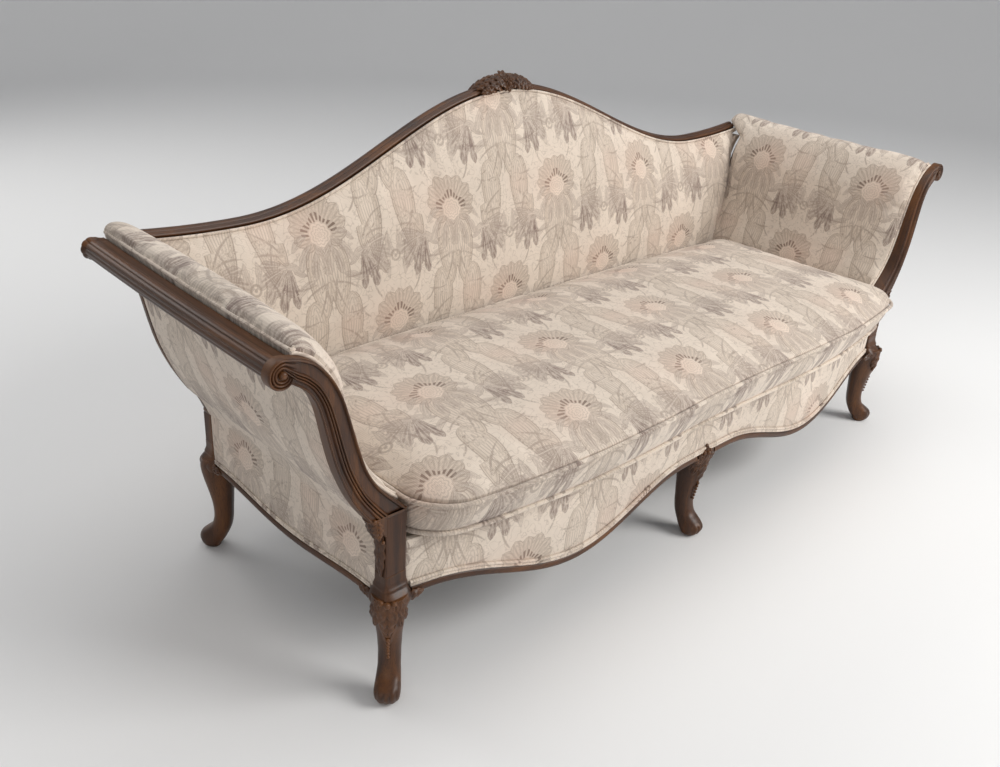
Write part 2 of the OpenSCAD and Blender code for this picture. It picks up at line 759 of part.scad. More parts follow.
outside_u_shares = concat([-1, -rim_share], steps(-0.9, 0.9, 16), [rim_share, 1]);
module outside_back() {
    color("#cbbdac") placed() skin([for (v = outside_z_shares)
        concat([for (u = outside_u_shares) outside_point(u, v, false)],
            [for (u = reversed(outside_u_shares)) outside_point(u, v, true)])],
        flip = true);
}

// Zigzag seat springs: one unbroken wire each, of straight bars and half turns.
// Each spring rests on the front and the rear rail, so its pitch follows its span.
turn_angles = [60, 120];
function spring_start(x) = rail_inner_y(x) - rail_thick / 2;
function spring_path(x) =
    let (pitch = (rear_front + upright_depth / 2 - spring_start(x)) / spring_bars,
        bar = (spring_width - pitch) / 2)
    joined([for (i = [0:spring_bars]) let (side = i % 2 == 0 ? 1 : -1)
        concat([[-side * bar, i * pitch, 0], [side * bar, i * pitch, 0]],
            i == spring_bars ? [] : [for (a = turn_angles)
                [side * (bar + pitch / 2 * sin(a)), (i + 0.5 - cos(a) / 2) * pitch, 0]])]);

spring_edge = side_upright_x - upright_width / 2 - spring_width / 2 - wire_size;
function spring_x(i) = spring_edge * (2 * i / (spring_count - 1) - 1);
spring_z = rail_top + wire_size / 2;

module seat_springs() {
    color("#8d9196") placed() for (i = [0:spring_count - 1])
        translate([spring_x(i), spring_start(spring_x(i)), spring_z])
            tube(spring_path(spring_x(i)), wire_size / 2, [0, 0, 1], 4);
}

// Outline of the seat between the posts, from depth near behind the cover's face
// to depth far, inset at the ends
function seat_outline(near, far, half) = concat(
    [for (x = length_stations(half, 28)) [x, front_y(x) + near]],
    [[half, far], [-half, far]]);

burlap_low = rail_top + wire_size + gap;

module spring_burlap() {
    color("#b59a6a") placed() translate([0, 0, burlap_low]) linear_extrude(sheet_thick)
        polygon(seat_outline(cover_thick, rear_front - gap, cover_half));
}

module deck_pad() {
    color("#d9cdbd") placed() translate([0, 0, burlap_low + sheet_thick + gap])
        linear_extrude(deck_height - burlap_low - sheet_thick - gap)
            polygon(seat_outline(cover_thick, rear_front - gap, cover_half));
}

// Thin black cloth under the seat, between the rails
module dust_cover() {
    color("#26241f") placed() translate([0, 0, leg_height + gap]) linear_extrude(sheet_thick)
        polygon(seat_outline(cover_thick + rail_thick + sheet_thick, rear_front - gap,
            rail_out - rail_thick - gap));
}

// The loose seat cushion. Its outline follows the front and has rounded corners.
cushion_half = post_in - cushion_room;
cushion_low = deck_height + gap;
cushion_back = frame_y(cushion_low) - back_pad - back_edge - welt_radius - 2 * gap;
front_corner = 80;
back_corner = 30;
function droop(x) = cushion_droop * pow(abs(x) / cushion_half, 3);
outline_steps = 30;
welt_low = cushion_low + 2 * welt_radius;
welt_high = deck_height + boxing_height;

function corner_drop(x, r) =
    let (t = max(0, abs(x) - (cushion_half - r)))
    r - sqrt(max(0, r * r - t * t));
function cushion_front(x, lean) = front_y(x) - lean + corner_drop(x, front_corner);
function outline_loop(inset, lean, z, sink) =
    let (squeeze = 1 - inset / cushion_half)
    concat(
        [for (i = [0:outline_steps]) let (x = cushion_half * sin(90 * (2 * i / outline_steps - 1)))
            [x * squeeze, cushion_front(x, lean) + inset, z - sink * droop(x)]],
        [for (i = [outline_steps:-1:0]) let (x = cushion_half * sin(90 * (2 * i / outline_steps - 1)))
            [x * squeeze, cushion_back - corner_drop(x, back_corner) - inset,
                z - sink * droop(x)]]);

// Levels of the cushion: inset, share of the overhang and height
lean_low_share = 0.5;
seam = welt_radius + gap;
function level(inset, lean_share, z) =
    let (up = (z - welt_low) / (welt_high - welt_low))
    outline_loop(inset, overhang * lean_share, z, max(0, min(1, up)));
function crown_loop(inset_share, rise_share) =
    outline_loop(seam + inset_share * crown_rise, overhang, welt_high + welt_radius
        + rise_share * crown_rise, 1);
crown_shares = [[0.16, 0.16], [0.6, 0.34], [1.5, 0.54], [3, 0.76], [5, 0.92], [7.5, 1]];

module seat_cushion() {
    side = welt_high - welt_low;
    color("#ddd0c0") placed() skin(concat(
        [level(seam * 2, lean_low_share, cushion_low),
            level(seam, lean_low_share, welt_low - welt_radius),
            level(seam, lean_low_share, welt_low + welt_radius),
            level(seam * 0.4, lean_low_share, welt_low + side * 0.18),
            level(seam * 0.9, 0.65, welt_low + side * 0.5),
            level(seam * 0.4, 0.95, welt_high - side * 0.18),
            level(seam, 1, welt_high - welt_radius),
            level(seam, 1, welt_high + welt_radius)],
        [for (s = crown_shares) crown_loop(s[0], s[1])]), flip = true);
}

module cushion_welts() {
    color("#d5c7b5") placed() {
        tube(level(0, lean_low_share, welt_low), welt_radius, [0, 0, -1], 5, true);
        tube(level(0, 1, welt_high), welt_radius, [0, 0, -1], 5, true);
    }
}

front_leg_left();
front_leg_right();
front_leg_center();
rear_leg_left();
rear_leg_right();
rear_leg_center();
front_rail();
rear_rail();
side_rail_left();
side_rail_right();
seat_braces();
corner_blocks();
front_bead_left();
front_bead_right();
side_bead_left();
side_bead_right();
arm_facing_left();
arm_facing_right();
arm_capital_left();
arm_capital_right();
rear_facing_left();
rear_facing_right();
arm_rail_left();
arm_rail_right();
arm_slats();
back_uprights();
back_tack_rails();
crest_rail();
crest_carving();
seat_springs();
spring_burlap();
deck_pad();
dust_cover();
front_cover();
inside_back();
outside_back();
inside_arm_left();
inside_arm_right();
outside_arm_left();
outside_arm_right();
seat_cushion();
cushion_welts();
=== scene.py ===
# %% [markdown]
# A camel-back sofa in dark walnut and floral damask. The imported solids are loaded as
# a fixed frame, and every piece below is worked out from the same sizes as theirs, so
# that it lands where its solid stands. Shapes are arrays of points made with numpy.

# %% The frame and its box
import math
import bpy
import numpy as np
from mathutils import Matrix


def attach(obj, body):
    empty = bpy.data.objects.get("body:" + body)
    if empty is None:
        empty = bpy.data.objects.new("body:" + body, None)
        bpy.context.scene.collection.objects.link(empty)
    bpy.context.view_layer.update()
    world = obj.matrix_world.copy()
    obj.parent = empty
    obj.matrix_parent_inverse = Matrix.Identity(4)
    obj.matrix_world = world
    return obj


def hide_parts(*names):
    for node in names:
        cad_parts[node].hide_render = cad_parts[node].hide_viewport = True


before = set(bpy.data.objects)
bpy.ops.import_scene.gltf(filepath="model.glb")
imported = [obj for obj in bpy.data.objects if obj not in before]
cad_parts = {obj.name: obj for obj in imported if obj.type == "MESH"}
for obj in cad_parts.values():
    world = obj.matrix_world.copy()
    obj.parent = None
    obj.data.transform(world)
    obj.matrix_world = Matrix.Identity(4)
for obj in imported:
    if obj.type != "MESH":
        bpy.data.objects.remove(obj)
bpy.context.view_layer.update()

# %% [markdown]
# The sizes are those of the part, in millimetres. Drawing is done with y = 0 at the
# front corner legs, as in the part's source, and MIDDLE_Y moves it to the part's frame.

# %% Sizes of the sofa in millimetres
POST_X, LEG_SETBACK, SCROLL_X, SCROLL_Z, ARM_LIFT = 833.0, 568.0, 1027.0, 687.0, 14.0
POST_SIZE, POST_DEPTH, LEG_HEIGHT, POST_TOP, REAR_POST_TOP = 44.0, 31.0, 223.0, 388.0, 335.0
CENTRE_LEG_IN, RAIL_TOP, RAIL_THICK, DECK = 35.0, 292.0, 32.0, 317.0
BOW, DIP, COVER_BACK, FRONT_LOW, SIDE_LOW = 61.0, 14.0, 3.0, 132.0, 186.0
SCALLOP_START, SCALLOP_LENGTH, BEAD, BEAD_PROUD = 80.0, 680.0, 18.0, 4.0
SADDLE, HUMP, HUMP_HALF, EAR, CREST_H, CREST_D = 699.0, 197.0, 730.0, 24.0, 30.0, 32.0
BACK_RAKE, BACK_PAD = math.radians(8.0), 38.0
SCROLL_R, RAIL_R, FACING_D, FACING_LEAN, REAR_FACING_D = 24.0, 17.0, 28.0, 12.0, 18.0
RAIL_TAIL, REED, PANEL = 42.0, 5.0, 8.0
BOXING, DROOP, OVERHANG, WELT_R = 91.0, 14.0, 58.0, 4.5
COVER, BACK_COVER, GAP = 12.0, 5.0, 0.3

POST_IN, POST_OUT = POST_X - POST_SIZE / 2, POST_X + POST_SIZE / 2
ARM_RUN, ARM_RISE = SCROLL_X - POST_IN, SCROLL_Z - POST_TOP
POST_FRONT, POST_BACK = -POST_DEPTH / 2, POST_DEPTH / 2
REAR_FACE = LEG_SETBACK + POST_DEPTH / 2
REAR_FRONT = REAR_FACE - POST_DEPTH
REAR_FACING_FRONT = REAR_FACE - REAR_FACING_D
RAIL_END = LEG_SETBACK + RAIL_TAIL
EDGE_HIGH = LEG_HEIGHT - BEAD
LEG_HALF = 0.76 * POST_SIZE
CREST_END = POST_IN + 0.665 * ARM_RUN
PANEL_OUT = POST_IN + 0.207 * ARM_RUN
RAIL_OUT = PANEL_OUT - PANEL - GAP


# %% [markdown]
# The long curves of the sofa are cosine waves, so each is one line of numpy. The
# front swings out and in, its lower edge hangs in scallops, and the crest is a hump
# between two ears.

# %% Curves of the front, the sides and the crest
def clamp(x, low=0.0, high=1.0):
    """x held between low and high."""
    return np.minimum(np.maximum(x, low), high)


def front_y(x):
    """Depth of the show front: a quarter cosine bow less a three-quarter cosine dip."""
    u = clamp(np.abs(x) / POST_IN)
    return POST_FRONT + COVER_BACK - (BOW * np.cos(math.pi / 2 * u) - DIP * np.cos(1.5 * math.pi * u))


def front_edge(x):
    """Lower edge of the front: one full cosine scallop at each side of the middle."""
    u = clamp((np.abs(x) - SCALLOP_START) / SCALLOP_LENGTH)
    return FRONT_LOW + (EDGE_HIGH - FRONT_LOW) * (1 + np.cos(2 * math.pi * u)) / 2


def side_edge(y):
    """Lower edge of a side: one cosine scallop between the legs."""
    u = clamp((y - LEG_HALF) / (LEG_SETBACK - 2 * LEG_HALF))
    return SIDE_LOW + (EDGE_HIGH - SIDE_LOW) * (1 + np.cos(2 * math.pi * u)) / 2


def crest_top(x):
    """Crest line: a raised cosine hump, and ears that rise with the square of the way out."""
    hump = (1 + np.cos(math.pi * clamp(np.abs(x) / HUMP_HALF))) / 2
    ear = clamp(np.abs(x) - HUMP_HALF, 0, 1e9) / (SCROLL_X - HUMP_HALF)
    return SADDLE + HUMP * hump + EAR * ear ** 2


def crest_slope(x):
    """Slope of the crest line as an angle, from two points half a millimetre apart."""
    return np.arctan2(crest_top(x + 0.25) - crest_top(x - 0.25), 0.5)


def crest_under(x):
    """Height of the crest rail's underside, a section's height below the crest line."""
    return crest_top(x) - CREST_H / np.cos(crest_slope(x)) - GAP


def frame_y(z):
    """Depth of the back frame's front: upright to the deck, then leaning back."""
    return REAR_FRONT + math.tan(BACK_RAKE) * clamp(z - DECK, 0, 1e9)


def lift(y, share):
    """How much an arm has risen at depth y: the square of the way back, times the height share."""
    return ARM_LIFT * (clamp(y, 0, 1e9) / RAIL_END) ** 2 * clamp(share)


def arm_point(run, rise, y):
    """Point of the right arm from shares of its run and rise, at depth y."""
    run, rise, y = np.broadcast_arrays(np.asarray(run, float), rise, y)
    return np.stack([POST_IN + run * ARM_RUN, y, POST_TOP + rise * ARM_RISE + lift(y, rise)], -1)


MIDDLE_Y = float((front_y(0.4 * POST_IN) - OVERHANG - WELT_R
                  + frame_y(crest_top(0.0) - CREST_H / 2) + CREST_D) / 2)
print("middle of the depth", round(MIDDLE_Y, 1), "mm behind the front legs")


# %% [markdown]
# A smooth curve through given points is what a carver's template is. The
# Catmull-Rom spline passes through every point, so it is used for all outlines.

# %% Smooth curves through points
def through(points, t, closed=False):
    """Catmull-Rom curve through points, at t from 0 to their number less one."""
    p = np.asarray(points, float)
    n = len(p)
    t = np.asarray(t, float)
    i = np.floor(t).astype(int)
    i = i % n if closed else np.minimum(np.maximum(i, 0), n - 2)
    f = (t - np.floor(t) if closed else t - i)[..., None]
    pick = (lambda k: p[(i + k) % n]) if closed else (lambda k: p[np.clip(i + k, 0, n - 1)])
    a, b, c, d = pick(-1), pick(0), pick(1), pick(2)
    return (2 * b + (c - a) * f + (2 * a - 5 * b + 4 * c - d) * f ** 2
            + (3 * b - a - 3 * c + d) * f ** 3) / 2


def run_length(path):
    """Way along a path, from its start to each of its points."""
    return np.concatenate([[0], np.cumsum(np.linalg.norm(np.diff(path, axis=0), axis=1))])


def even(points, count, closed=False):
    """The smooth curve through points, cut into count points of even spacing."""
    n = len(points) if closed else len(points) - 1
    ways = np.linspace(0, n, n * 24 + 1)
    fine = through(points, ways[:-1] if closed else ways, closed)
    if closed:
        fine = np.vstack([fine, fine[:1]])
    way = run_length(fine)
    want = np.linspace(0, way[-1], count, endpoint=not closed)
    return np.stack([np.interp(want, way, fine[:, k]) for k in range(fine.shape[1])], -1)


def turns(count, shift=0.0):
    """Angles of count points round a circle, the first one shift steps from +X."""
    return (np.arange(count) + shift) * 2 * math.pi / count


def squared(v, power):
    """A sine or cosine to a power with its sign kept, which squares a circle's corners."""
    return np.sign(v) * np.abs(v) ** power


def unit(v):
    """Vectors of length 1, or of no length where there is none."""
    return v / np.maximum(np.linalg.norm(v, axis=-1, keepdims=True), 1e-9)


def square_to(path, axis):
    """Unit vectors square to curves that run along an axis of an array, with y left out."""
    way = np.gradient(path, axis=axis)
    return unit(np.stack([-way[..., 2], 0 * way[..., 0], way[..., 0]], -1))


def points_of(x, y, z):
    """A grid of points from three arrays, of which some may be narrower."""
    return np.stack(np.broadcast_arrays(x, y, z), -1)


# %% [markdown]
# One function turns a grid of points into a shell with closed ends, whose faces point
# outwards. Another moves a shell to the part's frame, in metres, and makes a mesh of it.

# %% Grids to meshes
MM = 0.001


def grid_faces(n, m, wrap_n=False, wrap_m=False):
    """Quads of an n by m grid as an array of four indices each."""
    i = np.arange(n if wrap_n else n - 1)[:, None]
    j = np.arange(m if wrap_m else m - 1)[None, :]
    a, b = i * m + j, i * m + (j + 1) % m
    c, d = (i + 1) % n * m + (j + 1) % m, (i + 1) % n * m + j
    return np.stack([a + 0 * j, b, c, d], -1).reshape(-1, 4)


def signed_volume(points, faces):
    """Sum of the tetrahedra between the middle and the halves of each face."""
    p = points - points.mean(0)
    a, b, c, d = (p[faces[:, k]] for k in range(4))
    return float((np.cross(b - a, c - a) * a).sum() + (np.cross(c - a, d - a) * a).sum()) / 6


def shell(grid, wrap_n=False, wrap_m=True, caps=True):
    """Points and quads of a grid whose rows are rings. Each end is closed by a ladder of
    quads from one side of its ring to the other."""
    n, m = grid.shape[:2]
    points = grid.reshape(-1, 3)
    faces = grid_faces(n, m, wrap_n, wrap_m)
    if caps and not wrap_n:
        j = np.arange(m // 2 - 1)
        ladder = np.stack([m - 1 - j, m - 2 - j, j + 1, j], -1)
        faces = np.vstack([faces, ladder, (n - 1) * m + ladder[:, ::-1]])
    if signed_volume(points, faces) < 0:
        faces = faces[:, ::-1]
    return points, faces


def folded(face, hidden):
    """Shell of a panel from its face grid and a coarser hidden grid, whose rows run the same
    way. Each end is closed by a copy of its ring, drawn together on the line midway."""
    share, coarse = (np.linspace(0, 1, grid.shape[1]) for grid in (face, hidden))
    ends = []
    for k in (0, -1):
        over_hidden = np.stack([np.interp(share, coarse, hidden[k, :, c]) for c in range(3)], -1)
        over_face = np.stack([np.interp(coarse, share, face[k, :, c]) for c in range(3)], -1)
        face_end, hidden_end = (face[k] + over_hidden) / 2, (hidden[k] + over_face) / 2
        ends.append(np.concatenate([face_end, hidden_end[::-1]])[None])
    ring = np.concatenate([face, hidden[:, ::-1]], 1)
    return shell(np.concatenate([ends[0], ring, ends[1]]), caps=False)


def on_face(values, hidden):
    """A face grid's values carried on to its ends and its hidden points, as one row."""
    return np.pad(values, ((1, 1), (0, hidden)), mode="edge").ravel()


def joined(*parts):
    """Several (points, faces) as one, with the faces counted on."""
    offset = np.cumsum([0] + [len(p) for p, f in parts[:-1]])
    return (np.vstack([p for p, f in parts]),
            np.vstack([f + o for (p, f), o in zip(parts, offset)]))


def mirrored(part):
    """The other side's (points, faces): x changes sign and the faces turn round."""
    return part[0] * np.array([-1.0, 1, 1]), part[1][:, ::-1]


def both_sides(part):
    """The right side's name and part, and the left side's, which is its mirror image."""
    return ("right", part), ("left", mirrored(part))


def piece(name, part, material, body="sofa_frame", stands_for=(), sharp=40.0):
    """A mesh object from (points, faces) in drawing millimetres, riding on a body."""
    points, faces = part
    points = (points - np.array([0, MIDDLE_Y, 0])) * MM
    mesh = bpy.data.meshes.new(name)
    mesh.from_pydata(points.tolist(), [], faces.tolist())
    mesh.validate()
    mesh.update()
    mesh.shade_smooth()
    mesh.set_sharp_from_angle(angle=math.radians(sharp))
    mesh.materials.append(material)
    obj = bpy.data.objects.new(name, mesh)
    bpy.context.scene.collection.objects.link(obj)
    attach(obj, body)
    if stands_for:
        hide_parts(*stands_for)
    return obj


def tube(path, radius, sides=10, closed=False):
    """Round cord along a path, with rings square to the path."""
    path = np.asarray(path, float)
    d = unit(np.roll(path, -1, 0) - np.roll(path, 1, 0) if closed else np.gradient(path, axis=0))
    a = unit(np.cross(d, np.where(np.abs(d[:, 2:3]) > 0.9, [[0.0, 1, 0]], [[0.0, 0, 1]])))
    same = np.sign((a[1:] * a[:-1]).sum(1) + 1e-9)
    a *= np.concatenate([[1.0], np.cumprod(same)])[:, None]
    angle = turns(sides)[None, :, None]
    ring = (a[:, None] * np.cos(angle) + np.cross(a, d)[:, None] * np.sin(angle)) * radius
    return shell(path[:, None] + ring, wrap_n=closed, caps=not closed)


print("helpers ready")

# %% [markdown]
# Dark walnut is stained, filled and rubbed to a satin shellac finish. The grain runs
# along each stick, so there is one material for each of the three directions. Ridges
# are lightened to orange-brown, partly worn wood and partly painted highlight, and
# hollows are darkened with painted shade; the mesh's own pointiness finds both.

# %% Nodes and colours
def linear(code):
    """An sRGB hex colour as linear red, green, blue and 1."""
    c = np.array([int(code[i:i + 2], 16) for i in (1, 3, 5)]) / 255
    low, high = c / 12.92, ((c + 0.055) / 1.055) ** 2.4
    return tuple(float(v) for v in np.where(c <= 0.04045, low, high)) + (1.0,)


def fill(tree, node, inputs):
    """Each named input of a node is linked to a socket or set to a value."""
    for key, value in inputs.items():
        socket = node.inputs[key]
        if isinstance(value, bpy.types.NodeSocket):
            tree.links.new(value, socket)
        else:
            socket.default_value = value


def add(tree, kind, inputs=None, **settings):
    """A shader node with its settings and its inputs."""
    node = tree.nodes.new("ShaderNode" + kind)
    for key, value in settings.items():
        setattr(node, key, value)
    fill(tree, node, inputs or {})
    return node


def ranged(tree, value, low, high, to_low=0.0, to_high=1.0):
    """A value's range low to high, held and mapped to to_low to to_high."""
    return add(tree, "MapRange", {"Value": value, "From Min": low, "From Max": high,
                                  "To Min": to_low, "To Max": to_high}).outputs["Result"]


def mixed(tree, share, base, top, kind="MIX"):
    """A colour laid over another, or multiplied with it, by a share."""
    return add(tree, "MixRGB", {"Fac": share, "Color1": base, "Color2": top},
               blend_type=kind).outputs["Color"]


def ramp(tree, fac, stops):
    """A colour ramp over fac from (place, hex) stops, as its colour socket."""
    node = add(tree, "ValToRGB", {"Fac": fac})
    band = node.color_ramp.elements
    while len(band) < len(stops):
        band.new(0.5)
    for element, (place, code) in zip(band, stops):
        element.position = place
        element.color = linear(code)
    return node.outputs["Color"]


def blank(name):
    """A new node material with its tree and its surface shader."""
    material = bpy.data.materials.new(name)
    material.use_nodes = True
    tree = material.node_tree
    return material, tree, tree.nodes["Principled BSDF"]


def grain_material(name, along, dark, mid, light, rough, coat, ridge_wear_and_highlight):
    """Wood: broad figure and 0.6 mm pores stretched along one axis, with ridges lightened by wear and painted
    highlight, and hollows darkened by painted shade.
    """
    material, tree, surface = blank(name)
    place = add(tree, "TexCoord").outputs["Object"]

    def noise(across, lengthwise, **more):
        """Noise with so many waves per metre across the grain and along it."""
        scale = [across] * 3
        scale[along] = lengthwise
        at = add(tree, "Mapping", {"Vector": place, "Scale": scale}).outputs["Vector"]
        return add(tree, "TexNoise", {"Vector": at, "Scale": 1.0, **more}).outputs["Fac"]

    figure = noise(26.0, 1.6, Detail=5.0, Roughness=0.6, Distortion=0.7)
    pores = noise(850.0, 34.0, Detail=2.0)
    wood = ramp(tree, figure, [(0.3, dark), (0.5, mid), (0.72, light)])
    wood = mixed(tree, 1.0, wood, ranged(tree, pores, 0.34, 0.5, 0.55, 1.0), "MULTIPLY")
    if ridge_wear_and_highlight:
        ridge = add(tree, "NewGeometry").outputs["Pointiness"]
        # painted highlight and wear: ridges found by pointiness are lightened to orange-brown
        wood = mixed(tree, ranged(tree, ridge, 0.51, 0.6, 0.0, ridge_wear_and_highlight), wood, linear("#8a5a30"))
        # painted shade: hollows found by pointiness are darkened to near black, where shade falls in the
        # carving
        wood = mixed(tree, ranged(tree, ridge, 0.49, 0.42, 0.0, 0.75), wood, linear("#1a0f0a"))
    bump = add(tree, "Bump", {"Height": pores, "Strength": 0.25, "Distance": 0.0002})
    fill(tree, surface, {
        "Base Color": wood, "Roughness": ranged(tree, figure, 0.3, 0.7, rough - 0.06, rough + 0.08),
        "Normal": bump.outputs["Normal"], "IOR": 1.5, "Specular IOR Level": 0.38,
        "Coat Weight": coat, "Coat Roughness": 0.28})
    return material


# the last number is the share of painted highlight and wear on the ridges; where it is over 0, the hollows
# also get painted shade
WALNUT = [grain_material("walnut_" + axis, k, "#291407", "#472810", "#6a401b", 0.42, 0.1, 0.28)
          for k, axis in enumerate("xyz")]
BEECH = [grain_material("beech_" + axis, k, "#b48a5c", "#c49b6b", "#d3ad7e", 0.62, 0.0, 0.0)
         for k, axis in enumerate("xyz")]
print("woods", [m.name for m in WALNUT + BEECH])

# %% [markdown]
# The cloth is a cotton damask with a half-drop repeat, 345 mm wide and 452 mm high:
# a bloom with rayed petals, paired acanthus leaves over it, and long drops beside it.
# Each form is a signed distance in millimetres, worked out at every point of a piece
# and kept as an attribute. The material draws fills and thin outlines from the
# distances, so they stay crisp on a grid that is coarser than the lines.

# %% Tables of the damask's forms, for the right half of one bloom
REPEAT_W, REPEAT_H = 345.0, 452.0
LEAVES = [
    ((4, -24), -91, 58, 17, 1.4, 0.03, 2, 0.15), ((14, -20), -62, 66, 21, 1.6, -0.2, 2, 0.3),
    ((24, -12), -30, 60, 22, 1.6, -0.4, 2, 0.25), ((30, 4), -4, 46, 17, 1.5, -0.5, 2, 0.15),
    ((86, 178), -94, 84, 23, 1.5, 0.10, 3, 1.0), ((82, 177), -117, 88, 27, 1.7, 0.14, 3, 0.9),
    ((78, 177), -141, 84, 28, 1.7, 0.14, 3, 0.65), ((75, 178), -166, 76, 27, 1.7, 0.10, 3, 0.5),
    ((76, 182), -192, 56, 22, 1.6, 0.0, 2, 0.4), ((92, 176), -60, 34, 13, 1.2, 0.4, 2, 0.5),
    ((62, -58), 40, 52, 18, 1.5, -0.5, 2, 0.25), ((86, 108), 58, 56, 18, 1.5, -0.45, 2, 0.2),
    ((160, -22), -104, 50, 18, 1.5, 0.35, 2, 0.25), ((150, 214), -62, 48, 18, 1.5, 0.3, 2, 0.2),
    ((98, -84), -20, 44, 16, 1.4, 0.5, 2, 0.2), ((20, 100), 70, 40, 14, 1.4, 0.4, 2, 0.15)]
PETALS = [(90, 74, 32), (66, 78, 32), (42, 76, 32), (19, 70, 30), (-4, 62, 27), (-28, 50, 22)]
DROPS = [((124, 98), -84, 172, 56, 0.66, -0.12), ((150, 212), -92, 156, 56, 0.75, 0.06),
         ((62, 262), -84, 84, 34, 0.75, 0.12)]
STEMS = [((30, -92), -18, 96, 0.45), ((92, -30), 62, 90, -0.4), ((100, 96), 50, 80, -0.5),
         ((14, 118), 62, 60, 0.3), ((60, 96), 100, 110, 0.25), ((126, -60), 84, 70, 0.35),
         ((40, 60), 40, 60, 0.5), ((170, 60), 96, 90, 0.1), ((6, -84), -80, 90, 0.2),
         ((76, 30), 20, 40, 0.6), ((84, 60), -30, 50, 0.5), ((72, 200), 150, 60, 0.4)]
PINKS = [((-26, 14), 50, 1.0), ((-128, 30), 34, 0.7), ((60, 200), 40, 0.4)]
FORM_GROUPS = ((0, 1, 2, 3), (4,), (5,), (6,), (7,), (11, 9, 10))
FRONT_CUT, CUSHION_CUT, ARM_CUT = (40, 60), (246, -190), (-110, 128)
BACK_CUT, BEHIND_CUT, SIDE_CUT = (226, -652), (100, -330), (250, -330)
print("forms in the damask", sum(len(table) for table in (LEAVES, PETALS, DROPS, STEMS)))


# %% Forms of the damask as distances
def blade(p, q, root, angle, length, width, skew=1.0, bend=0.0, lobes=0):
    """A leaf by its spine from root, bent to the side with the square of the way along.
    Its half width is a sine, cut by slanting notches where lobes is over 0. Returns the
    distance to the leaf, the way along it and the distance from its spine."""
    c, s = math.cos(math.radians(angle)), math.sin(math.radians(angle))
    a = (p - root[0]) * c + (q - root[1]) * s
    b = -(p - root[0]) * s + (q - root[1]) * c
    t = clamp(a / length)
    b = np.abs(b - bend * length * t ** 2)
    half = width / 2 * np.sin(math.pi * t ** skew) ** 0.62
    if lobes:
        half = half * (0.68 + 0.32 * np.abs(np.sin(math.pi * lobes * clamp(t - 0.5 * b / length))) ** 0.6)
    past = np.abs(a - t * length)
    return np.where(past > 0, np.hypot(past, np.maximum(b - half, 0)), b - half), a, b


def bloom_forms(p, q):
    """Leaf distance with its along, aside and depth, then petal, drop, stem and rosette
    distances, the rose tint, and the place and distance from the bloom's middle."""
    side = np.abs(p)
    leaf = [np.full_like(p, 99.0), 0 * p, 0 * p, 0 * p]
    for root, angle, length, width, skew, bend, lobes, depth in LEAVES:
        d, a, b = blade(side, q, root, angle, length, width, skew, bend, lobes)
        near = d < leaf[0]
        leaf = [np.where(near, new, old) for new, old in zip((d, a, b, depth), leaf)]
    petal = np.min([blade(side, q, (0, 0), *row, 2.0)[0] for row in PETALS], axis=0)
    drop = np.min([blade(side, q, *row)[0] for row in DROPS], axis=0)
    stem = np.min([blade(side, q, root, angle, length, 5.0, 1.0, bend)[0]
                   for root, angle, length, bend in STEMS], axis=0)
    ring = np.hypot(side - REPEAT_W / 2, q + 78)
    rosette = np.minimum(np.abs(ring - 11) - 2.4, ring - 4)
    pink = sum(share * np.exp(-((p - at[0]) ** 2 + (q - at[1]) ** 2) / size ** 2)
               for at, size, share in PINKS)
    return [*leaf, petal, drop, stem, rosette, pink, p, q, np.hypot(p, q)]


def damask(u, v):
    """Four vectors per point, from the nearest forms among the five blooms round it. Slow
    sines bend the rows a little, as cloth that was pulled over padding. In each of the
    FORM_GROUPS the first value says how near the form is. The last vector's end is spare."""
    u, v = u + 4 * np.sin(v / 70), v + 5 * np.sin(u / 90)
    best = []
    for shift_u, shift_v in ((0, 0), (0.5, 0.5), (0.5, -0.5), (-0.5, 0.5), (-0.5, -0.5)):
        p = u - (np.round(u / REPEAT_W - shift_u) + shift_u) * REPEAT_W
        q = v - (np.round(v / REPEAT_H - shift_v) + shift_v) * REPEAT_H
        forms = bloom_forms(p, q)
        best = best or forms
        for group in FORM_GROUPS:
            near = forms[group[0]] < best[group[0]]
            for k in group:
                best[k] = np.where(near, forms[k], best[k])
        best[8] = np.maximum(best[8], forms[8])
    leaf, along, aside, depth, petal, drop, stem, rosette, pink, p, q, _ = best
    return (np.stack([leaf, petal, drop], -1), np.stack([along, aside, depth], -1),
            np.stack([p, q, pink], -1), np.stack([stem, rosette, 0 * stem], -1))


def dressed(obj, u, v):
    """Stores the cloth's forms and its thread coordinates on a piece, point by point."""
    mesh = obj.data
    for name, values in zip(("forms", "leaves", "blooms", "lines"), damask(u, v)):
        mesh.attributes.new(name, "FLOAT_VECTOR", "POINT").data.foreach_set(
            "vector", np.ascontiguousarray(values, np.float32).ravel())
    corner = np.empty(len(mesh.loops), int)
    mesh.loops.foreach_get("vertex_index", corner)
    threads = np.stack([u, v], -1) * MM
    mesh.uv_layers.new(name="threads").data.foreach_set(
        "uv", np.ascontiguousarray(threads[corner], np.float32).ravel())
    return obj


# %% [markdown]
# Damask shows its figure by two weaves, so the forms differ in colour and a little in
# sheen. The ground is ivory, the leaves are taupe, and the blooms lean to rose. Threads
# of 1.4 mm stand in for the real 0.5 mm ones, which would be too fine to show.

